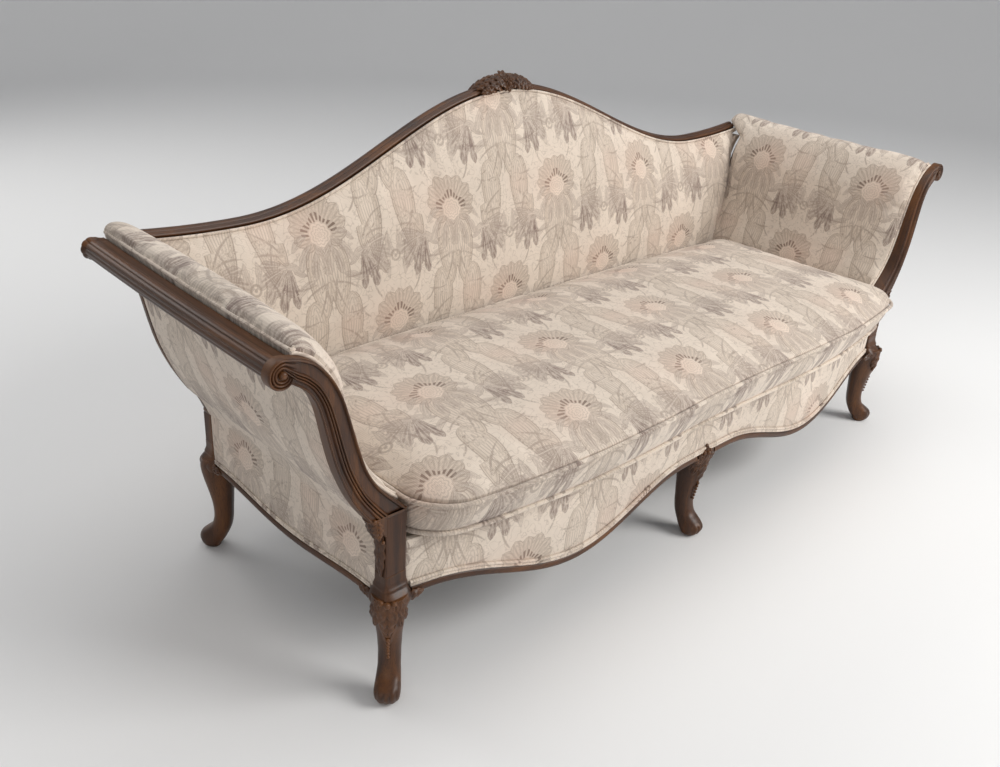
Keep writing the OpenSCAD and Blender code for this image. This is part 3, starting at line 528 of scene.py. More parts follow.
# %% The damask material
def damask_material(name, ground, leaf_dark, leaf_pale, line_tone, fill_tone, ray_tone, heart_tone, rose):
    """Ground and forms of the cloth from the distances, with threads and a soft sheen."""
    material, tree, surface = blank(name)

    def split(attribute):
        """The three parts of a vector attribute as sockets."""
        vector = add(tree, "Attribute", attribute_name=attribute).outputs["Vector"]
        return add(tree, "SeparateXYZ", {"Vector": vector}).outputs

    def work(operation, *values):
        """One step of arithmetic on sockets or numbers."""
        return add(tree, "Math", dict(enumerate(values)), operation=operation).outputs[0]

    def spread(*values):
        """A value's range, held and mapped to another, as ranged does it."""
        return ranged(tree, *values)

    def noise(scale, detail):
        """Noise over the cloth, with scale in waves per metre."""
        return add(tree, "TexNoise", {"Vector": threads, "Scale": scale, "Detail": detail}).outputs["Fac"]

    def times(first, *others):
        """Product of several values."""
        for other in others:
            first = work("MULTIPLY", first, other)
        return first

    def over(base, mask, top):
        """A colour laid over another through a mask."""
        return mixed(tree, mask, base, top)

    threads = add(tree, "UVMap", uv_map="threads").outputs["UV"]
    leaf, petal, drop = split("forms")
    along, aside, depth = split("leaves")
    p, q, pink = split("blooms")
    stem, rosette, _ = split("lines")
    ragged = spread(noise(420.0, 2.0), 0.0, 1.0, -1.2, 1.2)
    worn, broad, figure = noise(60.0, 4.0), noise(5.0, 2.0), noise(34.0, 2.0)

    def inside(distance, edge=0.0, soft=0.8):
        """1 where the distance is under edge, with a border that the threads make ragged."""
        return spread(work("ADD", distance, ragged), edge + soft, edge - soft)

    def outline(distance, width):
        """1 along the line where the distance is zero."""
        return inside(work("ABSOLUTE", distance), width, 0.7)

    def bands(distance, pitch, duty):
        """Lines at every pitch of a distance: where a sine of it is over duty."""
        return spread(work("SINE", times(distance, 2 * math.pi / pitch)), duty, duty + 0.25)

    tone = {key: linear(code) for key, code in (("ground", ground), ("line", line_tone),
                                                ("fill", fill_tone))}
    colour = tone["ground"]
    for level in (0.42, 0.56):
        scroll = spread(work("ABSOLUTE", work("SUBTRACT", figure, level)), 0.018, 0.0)
        colour = over(colour, times(scroll, 0.5), tone["line"])
    in_drop, in_petal, in_leaf = inside(drop), inside(petal), inside(leaf)
    colour = over(colour, times(in_drop, 0.75), tone["fill"])
    colour = over(colour, times(inside(drop, -9.0), 0.6), tone["ground"])
    colour = over(colour, times(bands(drop, 6.5, 0.35), in_drop, 0.55), tone["line"])
    colour = over(colour, times(outline(drop, 1.1), 0.9), tone["line"])
    colour = over(colour, times(inside(stem), 0.75), tone["line"])

    r = work("SQRT", work("ADD", work("MULTIPLY", p, p), work("MULTIPLY", q, q)))
    turn = work("ARCTAN2", q, p)
    rays = spread(work("ABSOLUTE", work("SINE", times(turn, 19.0))), 0.7, 0.95)
    colour = over(colour, times(in_petal, 0.7), tone["fill"])
    colour = over(colour, times(rays, in_petal, spread(r, 34.0, 44.0), 0.5), tone["line"])
    colour = over(colour, times(bands(petal, 7.0, 0.3), in_petal, 0.45), tone["line"])
    colour = over(colour, times(outline(petal, 1.0), 0.9), tone["line"])
    hairs = spread(work("ABSOLUTE", work("SINE", times(turn, 12.0))), 0.55, 0.8)
    reach = work("SUBTRACT", r, times(work("SINE", times(turn, 5.0)), 5.0))
    hairs = times(hairs, inside(reach, 39.0), spread(r, 24.0, 26.0), spread(q, -8.0, 2.0), 0.9)
    colour = over(colour, hairs, linear(ray_tone))
    scallop = work("SUBTRACT", r, times(work("ABSOLUTE", work("COSINE", times(turn, 4.5))), 4.0))
    heart = inside(scallop, 24.0)
    colour = over(colour, times(heart, 0.9), linear(heart_tone))
    colour = over(colour, times(bands(scallop, 7.0, 0.35), heart, 0.45), tone["line"])
    colour = over(colour, times(pink, 0.28), linear(rose))

    leaf_tone = over(linear(leaf_pale), depth, linear(leaf_dark))
    streak = bands(work("SUBTRACT", aside, times(along, 0.12)), 7.0, 0.35)
    body = times(in_leaf, spread(worn, 0.4, 0.6, 0.7, 1.0), spread(leaf, -5.0, 0.0, 1.0, 0.65),
                 spread(depth, 0.0, 1.0, 0.5, 1.0))
    colour = over(colour, times(body, spread(streak, 0.0, 1.0, 1.0, 0.58)), leaf_tone)
    colour = over(colour, times(outline(leaf, 0.7), 0.55), leaf_tone)
    colour = over(colour, times(inside(aside, 1.0), inside(leaf, -2.0), 0.7), tone["ground"])
    colour = over(colour, times(inside(rosette), 0.7), tone["line"])

    wave = {"Vector": threads, "Scale": 112.0, "Distortion": 1.2, "Detail": 1.0}
    weft, warp = (add(tree, "TexWave", wave, bands_direction=d).outputs["Fac"] for d in "YX")
    weave = work("ADD", weft, warp)
    for shade in (spread(broad, 0.3, 0.7, 0.93, 1.04), spread(weave, 0.0, 2.0, 0.93, 1.03),
                  spread(worn, 0.3, 0.7, 0.96, 1.02)):
        colour = mixed(tree, 1.0, colour, shade, "MULTIPLY")
    raised = work("ADD", weave, times(in_leaf, 0.8))
    bump = add(tree, "Bump", {"Height": raised, "Strength": 0.35, "Distance": 0.0005})
    fill(tree, surface, {"Base Color": colour, "Normal": bump.outputs["Normal"], "Roughness": 0.86,
                         "Sheen Weight": 0.2, "Sheen Roughness": 0.5, "Specular IOR Level": 0.25})
    return material


DAMASK = damask_material("cotton_damask", "#dccebf", "#85736a", "#ae9f93", "#a8998c", "#cabbab",
                         "#705f53", "#e0d0c0", "#d9b5a3")


def plain_cloth(name, code, pitch):
    """Plain woven cloth: threads pitch millimetres apart in both directions."""
    material, tree, surface = blank(name)
    place = add(tree, "TexCoord").outputs["Object"]
    wave = {"Vector": place, "Scale": 2 * math.pi / (pitch * MM) / 20, "Distortion": 2.0, "Detail": 1.0}
    weft, warp = (add(tree, "TexWave", wave, bands_direction=d).outputs["Fac"] for d in "XY")
    weave = add(tree, "Math", {0: weft, 1: warp}, operation="ADD").outputs[0]
    blotch = add(tree, "TexNoise", {"Vector": place, "Scale": 12.0, "Detail": 4.0}).outputs["Fac"]
    shade = add(tree, "Math", {0: ranged(tree, weave, 0.0, 2.0, 0.7, 1.1),
                               1: ranged(tree, blotch, 0.0, 1.0, 0.85, 1.15)}, operation="MULTIPLY")
    bump = add(tree, "Bump", {"Height": weave, "Strength": 0.4, "Distance": 0.0006})
    fill(tree, surface, {"Base Color": mixed(tree, 1.0, linear(code), shade.outputs[0], "MULTIPLY"),
                         "Normal": bump.outputs["Normal"], "Roughness": 0.9})
    return material


BURLAP = plain_cloth("jute_burlap", "#a98b5d", 3.0)
DECK_CLOTH = plain_cloth("cotton_decking", "#cfc2ae", 1.6)
DUST_CLOTH = plain_cloth("black_dust_cloth", "#23211e", 1.6)
print("cloths", DAMASK.name, BURLAP.name, DECK_CLOTH.name, DUST_CLOTH.name)


# %% Pieces of show wood and pieces in damask
def show_wood(name, part, wood, stands_for=(), sharp=40.0):
    """A piece of the dark show wood."""
    return piece(name, part, wood, stands_for=stands_for, sharp=sharp)


def show_wood_pair(node, word, part, wood, sharp=40.0):
    """The right and the left piece for a pair of nodes, the left one mirrored."""
    for side, one in both_sides(part):
        show_wood(f"{node}_{side}_{word}", one, wood, [f"{node}_{side}"], sharp)


def upholstered(node, part, u, v, body="sofa_frame", sharp=40.0):
    """A padded piece in damask that stands for a node, cut at u, v from the cloth."""
    obj = piece(f"{node}_padded", part, DAMASK, body=body, stands_for=[node],
                sharp=sharp)
    return dressed(obj, u, v)

# %% [markdown]
# Carved leaves are small lens-shaped forms. One function makes such a leaf from its
# root, its direction and the way it faces, with ribs across and a curl along it. The
# crest's cartouche, the capitals and the leaf over the middle leg are groups of them.

# %% Carved leaves
def carved_leaf(root, along, face, length, width, thick=4.0, curl=0.25, lobes=4, n=26, m=15):
    """A leaf from root: width swells as a sine with lobes, thickness is a parabola across
    with a groove at the spine, and the spine rises and curls over with the share along."""
    along, face = unit(np.asarray(along, float)), np.asarray(face, float)
    face = unit(face - along * (face @ along))
    across = np.cross(along, face)
    t, s = np.linspace(0.0, 1, n)[:, None], np.linspace(-1, 1, m)[None, :]
    half = width / 2 * np.sin(math.pi * (0.08 + 0.9 * t) ** 0.8) ** 0.7
    half = half * (1 + 0.16 * np.cos(2 * math.pi * lobes * t))
    high = thick * ((1 - s ** 2) * (1 + 0.3 * np.cos(2 * math.pi * (lobes * t - np.abs(s) * 0.8)))
                    - 0.35 * np.exp(-(s / 0.16) ** 2)) * np.sin(math.pi * clamp(t * 0.9 + 0.1)) ** 0.5
    rise = curl * length * np.sin(math.pi * t * 0.8)
    top = (np.asarray(root, float) + along * (length * t)[..., None]
           + across * (half * s)[..., None] + face * (rise + high)[..., None])
    low = top[:, ::-1] - face * (high + thick * 0.5)[:, ::-1, None]
    return shell(np.concatenate([top, low[:, 1:-1]], 1))


def ball(at, radius, squash=(1, 1, 1), n=9, m=14):
    """A sphere from rings, squashed along each axis."""
    t = np.linspace(-math.pi / 2, math.pi / 2, n)[:, None]
    a = turns(m)
    p = np.stack([np.cos(t) * np.cos(a), np.cos(t) * np.sin(a), np.sin(t) + 0 * a], -1)
    return shell(np.asarray(at, float) + radius * np.asarray(squash) * p)


# %% [markdown]
# A cabriole leg is sawn from a square blank and rounded by spokeshave: a knee that
# swells out, an ankle that tucks in, and a pad foot. A table of the outer side, inner
# side and half width at some heights gives its rings. Carving is a relief added along
# each ring's radius: an acanthus leaf on the knee, a string of beads under it, and
# toes on the foot.

# %% Cabriole legs
LEG = np.array([[0, 0.95, 0.3, 0.36], [0.03, 1.12, 0.24, 0.48], [0.09, 1.25, 0.02, 0.54],
                [0.14, 1.2, -0.12, 0.53], [0.18, 0.98, -0.22, 0.51], [0.22, 0.72, -0.3, 0.49],
                [0.27, 0.57, -0.37, 0.47], [0.34, 0.49, -0.42, 0.47], [0.42, 0.48, -0.45, 0.47],
                [0.5, 0.52, -0.48, 0.49], [0.58, 0.6, -0.51, 0.51], [0.67, 0.71, -0.54, 0.56],
                [0.76, 0.82, -0.56, 0.62], [0.85, 0.91, -0.58, 0.69], [0.93, 0.93, -0.6, 0.74],
                [1, 0.85, -0.6, 0.72]])
KNEE_BLOCK = [[262, 0, 0, 0.2], [248, 0.03, 0, 0.22], [240, 0.2, 0.1, 0.3], [236, 0.34, 0.2, 0.4],
              [232, 0.36, 0.3, 0.45], [224, 0.72, 0.6, 0.55], [214, 1, 1, 0.62],
              [204, 0.9, 1.1, 0.7], [192, 0.5, 1.0, 0.8], [180, 0, 0.8, 0.9]]
KNEE_LEAVES = (((39, 10, 222), (-0.2, 0.22, -0.95), (1, 0.7, 0), 62, 24, 5.0, 0.03, 3),
               ((31, 21, 220), (-0.22, 0.16, -0.9), (0.6, 1, 0), 46, 22, 4.5, 0.04, 3))
POST_FOOT = np.array([[-0.3, 0.6], [3, 1.6], [7, 1.6], [9, 0.2], [12, 1.0], [15, 1.0], [17, 0]])
POST_NECK = np.array([[-9, 0], [-8, -0.8], [-6, -0.8], [-5, 0], [0, 0]])


def knee_relief(height, side, front):
    """Relief in mm: a lobed ground with slanting ribs for the knee, and toes on the pad."""
    low, tall = 118, 98
    t = clamp((height - low) / tall)
    half = 25 * t ** 0.55 + 2.5 * np.abs(np.sin(3.5 * math.pi * t)) - 1.5
    within = clamp((half - np.abs(side)) / 2.5) * clamp((height - low + 2) / 8)
    ribs = 0.5 + 0.5 * np.cos(2 * math.pi * (np.abs(side) / 7.5 - t * 3.4))
    spine = np.exp(-(side / 1.8) ** 2)
    leaf = within * (0.6 + 1.6 * ribs * clamp(np.abs(side) / 4) + 1.2 * spine)
    toes = 2.6 * np.abs(np.cos(side / 3.6)) * clamp((height - 2) / 6) * clamp((38 - height) / 10)
    return (leaf + toes) * clamp(front * 2.2)


def cabriole(at, turn, carved=True, rings=150, points=88):
    """Rings of a leg that steps forward along the turned +X, with relief on its front."""
    rows = even(LEG * [LEG_HEIGHT, POST_SIZE, POST_SIZE, POST_SIZE], rings)
    c, s = np.cos(turns(points, 0.5)), np.sin(turns(points, 0.5))
    middle, reach = (rows[:, 1:2] + rows[:, 2:3]) / 2, (rows[:, 1:2] - rows[:, 2:3]) / 2
    x, y = middle + reach * squared(c, 0.86), rows[:, 3:4] * squared(s, 0.86)
    z = np.broadcast_to(rows[:, :1], x.shape)
    if carved:
        relief = knee_relief(z, y, c[None, :])
        x, y = x + relief * c, y + relief * 0.5 * s
    a = math.radians(turn)
    return shell(np.stack([at[0] + x * math.cos(a) - y * math.sin(a),
                           at[1] + x * math.sin(a) + y * math.cos(a), clamp(z, 0, LEG_HEIGHT)], -1))


def knee_block(at, turn):
    """The shoulder where a square post swells into the knee: rounded sections from the
    post's size to the knee's, whose middle moves outwards by a few millimetres."""
    height, grow, move, power = (column[:, None] for column in even(KNEE_BLOCK, 60).T)
    a, out, knee = math.radians(turn), 5.5 * move, 32
    half_x, half_y = (size + 0.8 + (knee - size) * grow for size in (POST_SIZE / 2, POST_DEPTH / 2))
    x = at[0] + out * math.cos(a) + half_x * squared(np.cos(turns(72, 0.5)), power)
    y = at[1] + out * math.sin(a) + half_y * squared(np.sin(turns(72, 0.5)), power)
    return shell(points_of(x, y, height))


def bead_ear(at, way, face):
    """A leaf that lies over the end of a bead, from the knee along the bead."""
    at, way, face = (np.asarray(v, float) for v in (at, way, face))
    root = at + way * 14 + face * 28 + np.array([0, 0, 213.0])
    return carved_leaf(root, way + [0, 0, -0.04], face, 38, 20, 4.0, 0.03, 3)


def knee_leaves(at, turn):
    """Carved leaves that hang on the knee of a front leg, in the turned direction."""
    a = math.radians(turn)
    out, aside, up = np.array([[math.cos(a), math.sin(a), 0], [-math.sin(a), math.cos(a), 0], [0, 0, 1]])
    at = np.array([at[0], at[1], 0.0])
    parts = [carved_leaf(at + out * 43 + up * 222, -up - 0.17 * out, out, 84, 30, 5.5, 0.03, 4, 34, 17)]
    for sign in (-1, 1):
        axes = np.array([out, aside * sign, up])
        for root, way, face, *sizes in KNEE_LEAVES:
            parts.append(carved_leaf(at + root @ axes, way @ axes, face @ axes, *sizes))
        parts.append(ball(at + (41, 11, 221) @ axes, 5.0))
    parts.append(ball(at + out * 44 + up * 219, 6.0))
    for k in range(6):
        parts.append(ball(at + out * (30.5 - 1.25 * k) + up * (134 - 8.6 * k), 4.0 - 0.15 * k))
    return joined(*parts)


def rounded_post(at_y, top):
    """The post over a corner leg: rounded rectangles, with a collar just over the leg."""
    levels = np.vstack([POST_FOOT + [LEG_HEIGHT, 0], POST_NECK + [top, 0]])
    c, s = (clamp(1.02 * squared(wave(turns(40, 0.5)), 0.2), -1, 1) for wave in (np.cos, np.sin))
    x = POST_X + (POST_SIZE / 2 + levels[:, 1:]) * c
    y = at_y + (POST_DEPTH / 2 + levels[:, 1:]) * s
    return shell(points_of(x, y, levels[:, :1]))


for end, at_y, top, turn, behind in (("front", 0.0, POST_TOP, -45, 1.0),
                                     ("rear", LEG_SETBACK, REAR_POST_TOP, 45, -1.0)):
    at, front = (POST_X, at_y), end == "front"
    parts = [cabriole(at, turn, front), rounded_post(at_y, top)]
    if front:
        parts.append(knee_leaves(at, turn))
    parts += [knee_block(at, turn), bead_ear((*at, 0), (0, behind, 0), (1, 0, 0))]
    if front:
        parts.append(bead_ear((*at, 0), (-1, 0, 0), (0, -1, 0)))
    show_wood_pair(f"{end}_leg", "carved", joined(*parts), WALNUT[2])
at = (0.0, float(front_y(0.0)) + CENTRE_LEG_IN)
middle = joined(cabriole(at, -90), knee_leaves(at, -90))
show_wood("front_leg_center_carved", middle, WALNUT[2], ["front_leg_center"])
show_wood("rear_leg_center_shaped", cabriole((0, REAR_FACE - CENTRE_LEG_IN), 90, False), WALNUT[2],
          ["rear_leg_center"])
print("middle leg", len(middle[0]), "points")

# %% [markdown]
# The arm facing is one board, sawn to an S, moulded along its length and wound into a
# volute at the top. Two edge curves run up it and round the scroll, and a moulding
# profile is carried between them: an inner bead, a wide cove, three reeds and an outer
# cove. The profile is a height over the share of the way across.

# %% Arm facings with their volutes
FACING_IN = [[0, 0], [0.104, 0.072], [0.243, 0.183], [0.347, 0.31], [0.414, 0.457], [0.482, 0.644],
             [0.536, 0.781], [0.613, 0.899], [0.725, 1], [0.833, 1.049], [0.9, 1.066]]
FACING_OUT = [[0.35, 0], [0.41, 0.065], [0.505, 0.186], [0.604, 0.363], [0.662, 0.52], [0.72, 0.712],
              [0.762, 0.805], [0.815, 0.87], [0.87, 0.905], [0.925, 0.935], [0.965, 0.97]]


def round_over(w, middle, half, height):
    """A half-round moulding: the upper half of an ellipse across the share w."""
    return height * np.sqrt(clamp(1 - ((w - middle) / half) ** 2))


def facing_profile(w):
    """Height of the facing's moulding, in reed heights, at share w of its width."""
    ground = np.interp(w, [0, 0.02, 0.12, 0.15, 0.22, 0.32, 0.42, 0.49, 0.51, 0.8, 0.83, 0.88, 0.93, 1],
                       [-0.5, 0.2, 0.2, -0.2, -0.6, -0.8, -0.6, -0.05, 0.3, 0.3, -0.2, -0.35, -0.1, -0.5])
    shapes = [round_over(w, middle, half, height) for middle, half, height in (
        (0.07, 0.055, 1.0), (0.56, 0.045, 1.0), (0.655, 0.045, 1.0), (0.75, 0.045, 0.95), (0.955, 0.03, 0.5))]
    return np.maximum(ground, np.max(shapes, axis=0))


def scroll_profile(w):
    """Height of the moulding round the volute: three concentric reeds and hollows between."""
    return np.max([round_over(w, middle, half, height) for middle, half, height in (
        (0.1, 0.11, 1.0), (0.34, 0.1, 0.9), (0.57, 0.1, 0.75))] + [0 * w - 0.35], axis=0)


def facing_edges(rows, turns):
    """Inner and outer edge: the S by the spline, then arcs round the scroll to its eye."""
    t = np.linspace(0, len(FACING_IN) - 1, rows)
    arc = np.radians(np.linspace(112, -150, turns + 1)[1:])
    rim = SCROLL_R * np.interp(np.degrees(arc), [-150, -40, 112], [0.8, 1, 1])
    edges = []
    for shares, radius in ((FACING_IN, rim), (FACING_OUT, 0.08 * SCROLL_R + 0 * rim)):
        s = through(shares, t)
        body = arm_point(s[:, 0], s[:, 1], 0.0)
        scroll = np.stack([SCROLL_X + radius * np.cos(arc), 0 * arc, SCROLL_Z + radius * np.sin(arc)], -1)
        edges.append(np.vstack([body, scroll]))
    return edges


def arm_facing(rows=170, turns=96, across=72):
    """Rings across the facing: moulded front, rounded arrises and a flat back."""
    inner, outer = facing_edges(rows, turns)
    w = np.linspace(0, 1, across)
    p = inner[:, None] + (outer - inner)[:, None] * w[None, :, None]
    lean = FACING_LEAN * (p[..., 2] - POST_TOP) / ARM_RISE
    wound = clamp((np.arange(len(p)) - rows + 16) / 24)[:, None]
    profile = (1 - wound) * facing_profile(w)[None, :] + wound * scroll_profile(w)[None, :]
    p[..., 1] = POST_BACK - FACING_D + lean - REED * profile
    ends = np.stack([outer, outer, inner, inner], 1)
    ends[:, 0, 1] = ends[:, 3, 1] = POST_BACK - FACING_D * 0.5
    ends[:, 1:3, 1] = POST_BACK - GAP
    return shell(np.concatenate([p, ends], 1))


# %% Scroll caps: a button in the eye
def eye_button():
    """A turned button: rings of a small dome on the volute's eye."""
    t = np.linspace(0, 1, 10)
    r = 6.5 * np.cos(t * math.pi / 2) ** 0.8
    front = POST_BACK - FACING_D + FACING_LEAN - 2 - 5.5 * np.sin(t * math.pi / 2)
    c, s = np.cos(turns(32)), np.sin(turns(32))
    return shell(points_of(SCROLL_X + r[:, None] * c, front[:, None], SCROLL_Z + r[:, None] * s))


facing = joined(arm_facing(), eye_button())
show_wood_pair("arm_facing", "moulded", facing, WALNUT[2])
print("facing", len(facing[0]), "points")

# %% [markdown]
# The crest rail is a moulded stick bent to the hump: a rounded top bead, a thin fillet
# that catches the light, and a dark cove over the cloth. Sections stand square to the
# crest line, as a spindle moulder leaves them.

# %% Crest rail
CREST = [[0.5, -1], [0.5, -0.3], [0.42, -0.08], [0.2, 0.0], [0.0, -0.02], [-0.08, -0.15], [-0.15, -0.17],
         [-0.2, -0.07], [-0.3, -0.08], [-0.44, -0.18], [-0.48, -0.32], [-0.38, -0.42], [-0.38, -0.54],
         [-0.52, -0.62], [-0.52, -0.82], [-0.4, -1]]


def crest_rail(stations=360, around=72):
    """Rings of the moulded section, each turned by the slope of the crest line."""
    x = np.linspace(-CREST_END, CREST_END, stations)[:, None]
    s = even(np.array(CREST) * [CREST_D, CREST_H], around, closed=True) / [CREST_D, CREST_H]
    a, z = crest_slope(x), crest_top(x)
    drop = s[None, :, 1] * CREST_H
    return shell(np.stack([clamp(x - drop * np.sin(a), -CREST_END, CREST_END),
                           frame_y(z - CREST_H / 2) + (s[None, :, 0] + 0.5) * CREST_D,
                           z + drop * np.cos(a)], -1))


show_wood("crest_rail_moulded", crest_rail(), WALNUT[0], ["crest_rail"], 50)


# %% Cartouche on the crest: a flower between acanthus leaves
CREST_LEAVES = ((50, 38, 20), (36, 42, 26), (20, 44, 30), (5, 42, 30))
LEAF_TILTS = ((-0.5, -0.55), (-0.25, -0.1), (0.12, 0.25), (0.36, 0.6))
CREST_FRUIT = ((66, 3, 4.5), (50, 6, 5.5), (34, 10, 6.0), (18, 14, 6.5), (42, -5, 5.0), (26, -3, 5.5))


def crest_frame(x):
    """Middle of the crest's top at x, the way along it and the way up from it."""
    a, z = float(crest_slope(x)), float(crest_top(x))
    return (np.array([x, float(frame_y(z - CREST_H / 2)) + CREST_D * 0.5, z]),
            np.array([math.cos(a), 0, math.sin(a)]), np.array([-math.sin(a), 0, math.cos(a)]))


def crest_carving():
    """Leaves in pairs on the top and the front of the crest, with berries and a flower."""
    parts = []
    for sign in (-1, 1):
        for k, (start, length, width) in enumerate(CREST_LEAVES):
            at, along, up = crest_frame(sign * start)
            for depth, tilt in LEAF_TILTS:
                root = at + up * (2.2 * k - 2.5 - 8 * abs(tilt)) + np.array([0, depth * CREST_D, 0])
                way = along * sign + up * (0.1 + 0.05 * k - 0.2 * abs(tilt)) + np.array([0, tilt * 0.5, 0])
                face = up + np.array([0, tilt * 1.6, 0])
                parts.append(carved_leaf(root, way, face, length, width, 6.0, 0.08 + 0.03 * k))
        for start, high, size in CREST_FRUIT:
            at, along, up = crest_frame(sign * start)
            forward = CREST_D * (0.2 if high > 4 else 0.56)
            parts.append(ball(at + up * high - np.array([0, forward, 0]), size))
    at, along, up = crest_frame(0.0)
    middle = at + up * 3 + np.array([0, -CREST_D * 0.52, 0])
    for count, length, width, high in ((8, 24, 17, 0.0), (6, 15, 13, 5.0)):
        for k in range(count):
            a = 2 * math.pi * k / count + 0.2
            way = along * math.cos(a) + up * math.sin(a)
            root = middle + np.array([0, -high, 0])
            parts.append(carved_leaf(root, way, np.array([0, -1.0, 0.3]), length, width, 4.0, 0.3, 2, 14, 11))
    parts.append(ball(middle + np.array([0, -10.0, 1.0]), 6.0))
    for k in range(6):
        a = math.radians(15 + 30 * k)
        way = along * math.cos(a) + up * math.sin(a) * 0.8 + np.array([0, 0.3, 0])
        parts.append(carved_leaf(at + up * 3, way, up + np.array([0, -0.4, 0]), 27, 20, 5.0, 0.2, 3, 16, 11))
    return joined(*parts)


show_wood("crest_carving_leaves", crest_carving(), WALNUT[0], ["crest_carving"], 60)
print("crest at", round(float(crest_top(0.0))), "mm")

# %% [markdown]
# The arm rail is a long stick with reeds run along its outer side and a flat inner side
# for the cloth. Towards the back it swells into a rounded scroll end.

# %% Arm rails
def arm_rail(stations=150, around=72):
    """Rings: a circle whose radius ripples into reeds, flattened inside, swelling at the end."""
    start = RAIL_END - RAIL_TAIL / 2
    y = np.concatenate([np.linspace(POST_BACK, start, stations),
                        start + RAIL_TAIL / 2 * np.sin(np.linspace(0.03, 1, 40) * math.pi / 2)])
    share = clamp((y - start) / (RAIL_TAIL / 2))
    swell = 1 + 0.4 * np.sin(np.clip(share * 1.25, 0, 1) * math.pi / 2) ** 2
    swell = swell * np.sqrt(clamp(1 - (clamp(share - 0.35) / 0.66) ** 2.4, 0.02, 1))
    a = np.linspace(math.radians(118), math.radians(-118), around)[None, :]
    reeds = 0.14 * np.abs(np.cos(a * 4.6)) ** 0.5 * clamp(2.1 - np.abs(a)) * (1 - 0.6 * share[:, None])
    r = RAIL_R * swell[:, None] * (0.9 + reeds)
    x = SCROLL_X + r * np.cos(a) * np.where(np.cos(a) > 0, 1.0, 1.25)
    z = SCROLL_Z + r * np.sin(a) + lift(y, 1.0)[:, None]
    middle = SCROLL_Z + lift(y, 1.0)
    flat = np.stack([points_of(SCROLL_X - 1.4 * RAIL_R, y, middle + k * RAIL_R * np.minimum(1, swell))
                     for k in (-0.8, -0.4, 0.4, 0.8)], 1)
    return shell(np.concatenate([points_of(x, y[:, None], z), flat], 1))


show_wood_pair("arm_rail", "reeded", arm_rail(), WALNUT[1])

# %% [markdown]
# Below the covers runs a bead of show wood. It follows the scallops, and it has a quirk
# over a half round, so that a thin line of shade parts it from the cloth.

# %% Beads under the front and the sides
BEAD_SECTION = np.array([[0.0, 1.0], [0.6, 1.0], [1.0, 0.92], [0.75, 0.82], [1.1, 0.7], [1.35, 0.45],
                         [1.2, 0.2], [0.8, 0.05], [0.0, 0.0]])
PROUD_SHARES, HIGH_SHARES = even(BEAD_SECTION, 26).T


def bead_shell(face, back_x, back_y, z):
    """Shell of a bead from its moulded face and two rows of points at its back."""
    back = [points_of(back_x, back_y, z[:, 0] + k) for k in (0.0, BEAD)]
    return shell(np.concatenate([face, np.stack(back, 1)], 1))


def front_bead():
    """Right half of the front bead, ring by ring along x."""
    x = np.linspace(LEG_HALF, POST_X - LEG_HALF, 200)[:, None]
    y, z = front_y(x), front_edge(x)
    face = points_of(x, y + 2 - (BEAD_PROUD + 1.2) * PROUD_SHARES, z + BEAD * HIGH_SHARES)
    return bead_shell(face, x[:, 0], y[:, 0] + COVER + RAIL_THICK, z)


def side_bead():
    """Bead of the right side, ring by ring along y."""
    y = np.linspace(LEG_HALF, LEG_SETBACK - LEG_HALF, 140)[:, None]
    z = side_edge(y)
    face = points_of(PANEL_OUT - 2 + (BEAD_PROUD + 1.2) * PROUD_SHARES, y, z + BEAD * HIGH_SHARES)
    return bead_shell(face, RAIL_OUT - RAIL_THICK, y[:, 0], z)


show_wood_pair("front_bead", "moulded", front_bead(), WALNUT[0])
show_wood_pair("side_bead", "moulded", side_bead(), WALNUT[1])


# %% Capitals at the front posts, and the leaf over the middle leg
CAPITAL = [[0, 1.0], [0.05, 1.04], [0.12, 1.0], [0.16, 0.78], [0.24, 0.84], [0.32, 0.62],
           [0.5, 0.5], [0.62, 0.62], [0.74, 0.5], [0.9, 0.18], [1, 0.08]]
CAPITAL_HIGH = 40
CAPITAL_LEAVES = (((18, -15, -4), (-0.12, 0, -1), (0.4, -1, 0), 40, 17),
                  ((26, -4, -3), (-0.3, 0, -1), (1, -0.4, 0), 46, 18),
                  ((22, 8, -4), (-0.25, 0.1, -1), (1, 0.2, 0), 40, 16),
                  ((5, -5, -34), (-0.03, 0, -1), (1, -0.3, 0), 92, 22))
MIDDLE_LEAVES = (((5, 1, -34), (0.55, 0.03, 1), 42, 18, 4.5, 0.05, 4),
                 ((9, 2, -30), (1.3, 0.05, 0.8), 32, 15, 4.0, 0.05, 3))


def capital():
    """A stepped bracket under the facing's foot, with a carved leaf and two rings."""
    rows = even(CAPITAL, 40)
    z = POST_TOP - GAP - rows[:, 0] * CAPITAL_HIGH
    low, high = POST_FRONT - 1, POST_BACK - GAP
    a = np.linspace(-math.pi / 2, math.pi / 2, 24)[None, :]
    out = (0.35 * ARM_RUN - POST_SIZE) * rows[:, 1:2] * np.cos(a) ** 0.35
    y = (low + high) / 2 + (high - low) / 2 * np.sin(a)
    inner = np.stack([points_of(POST_OUT - 0.5, at_y, z) for at_y in (high, low)], 1)
    corner = np.array([POST_OUT, 0, POST_TOP])
    parts = [shell(np.concatenate([points_of(POST_OUT + out, y, z[:, None]), inner], 1))]
    for start, way, face, length, wide in CAPITAL_LEAVES:
        parts.append(carved_leaf(corner + start, way, face, length, wide, 3.6, 0.02, 4, 30, 13))
    for start, size in (((22, -13, -4), 5.0), ((6, -15, -50), 3.5)):
        parts.append(ball(corner + start, size))
    return joined(*parts)


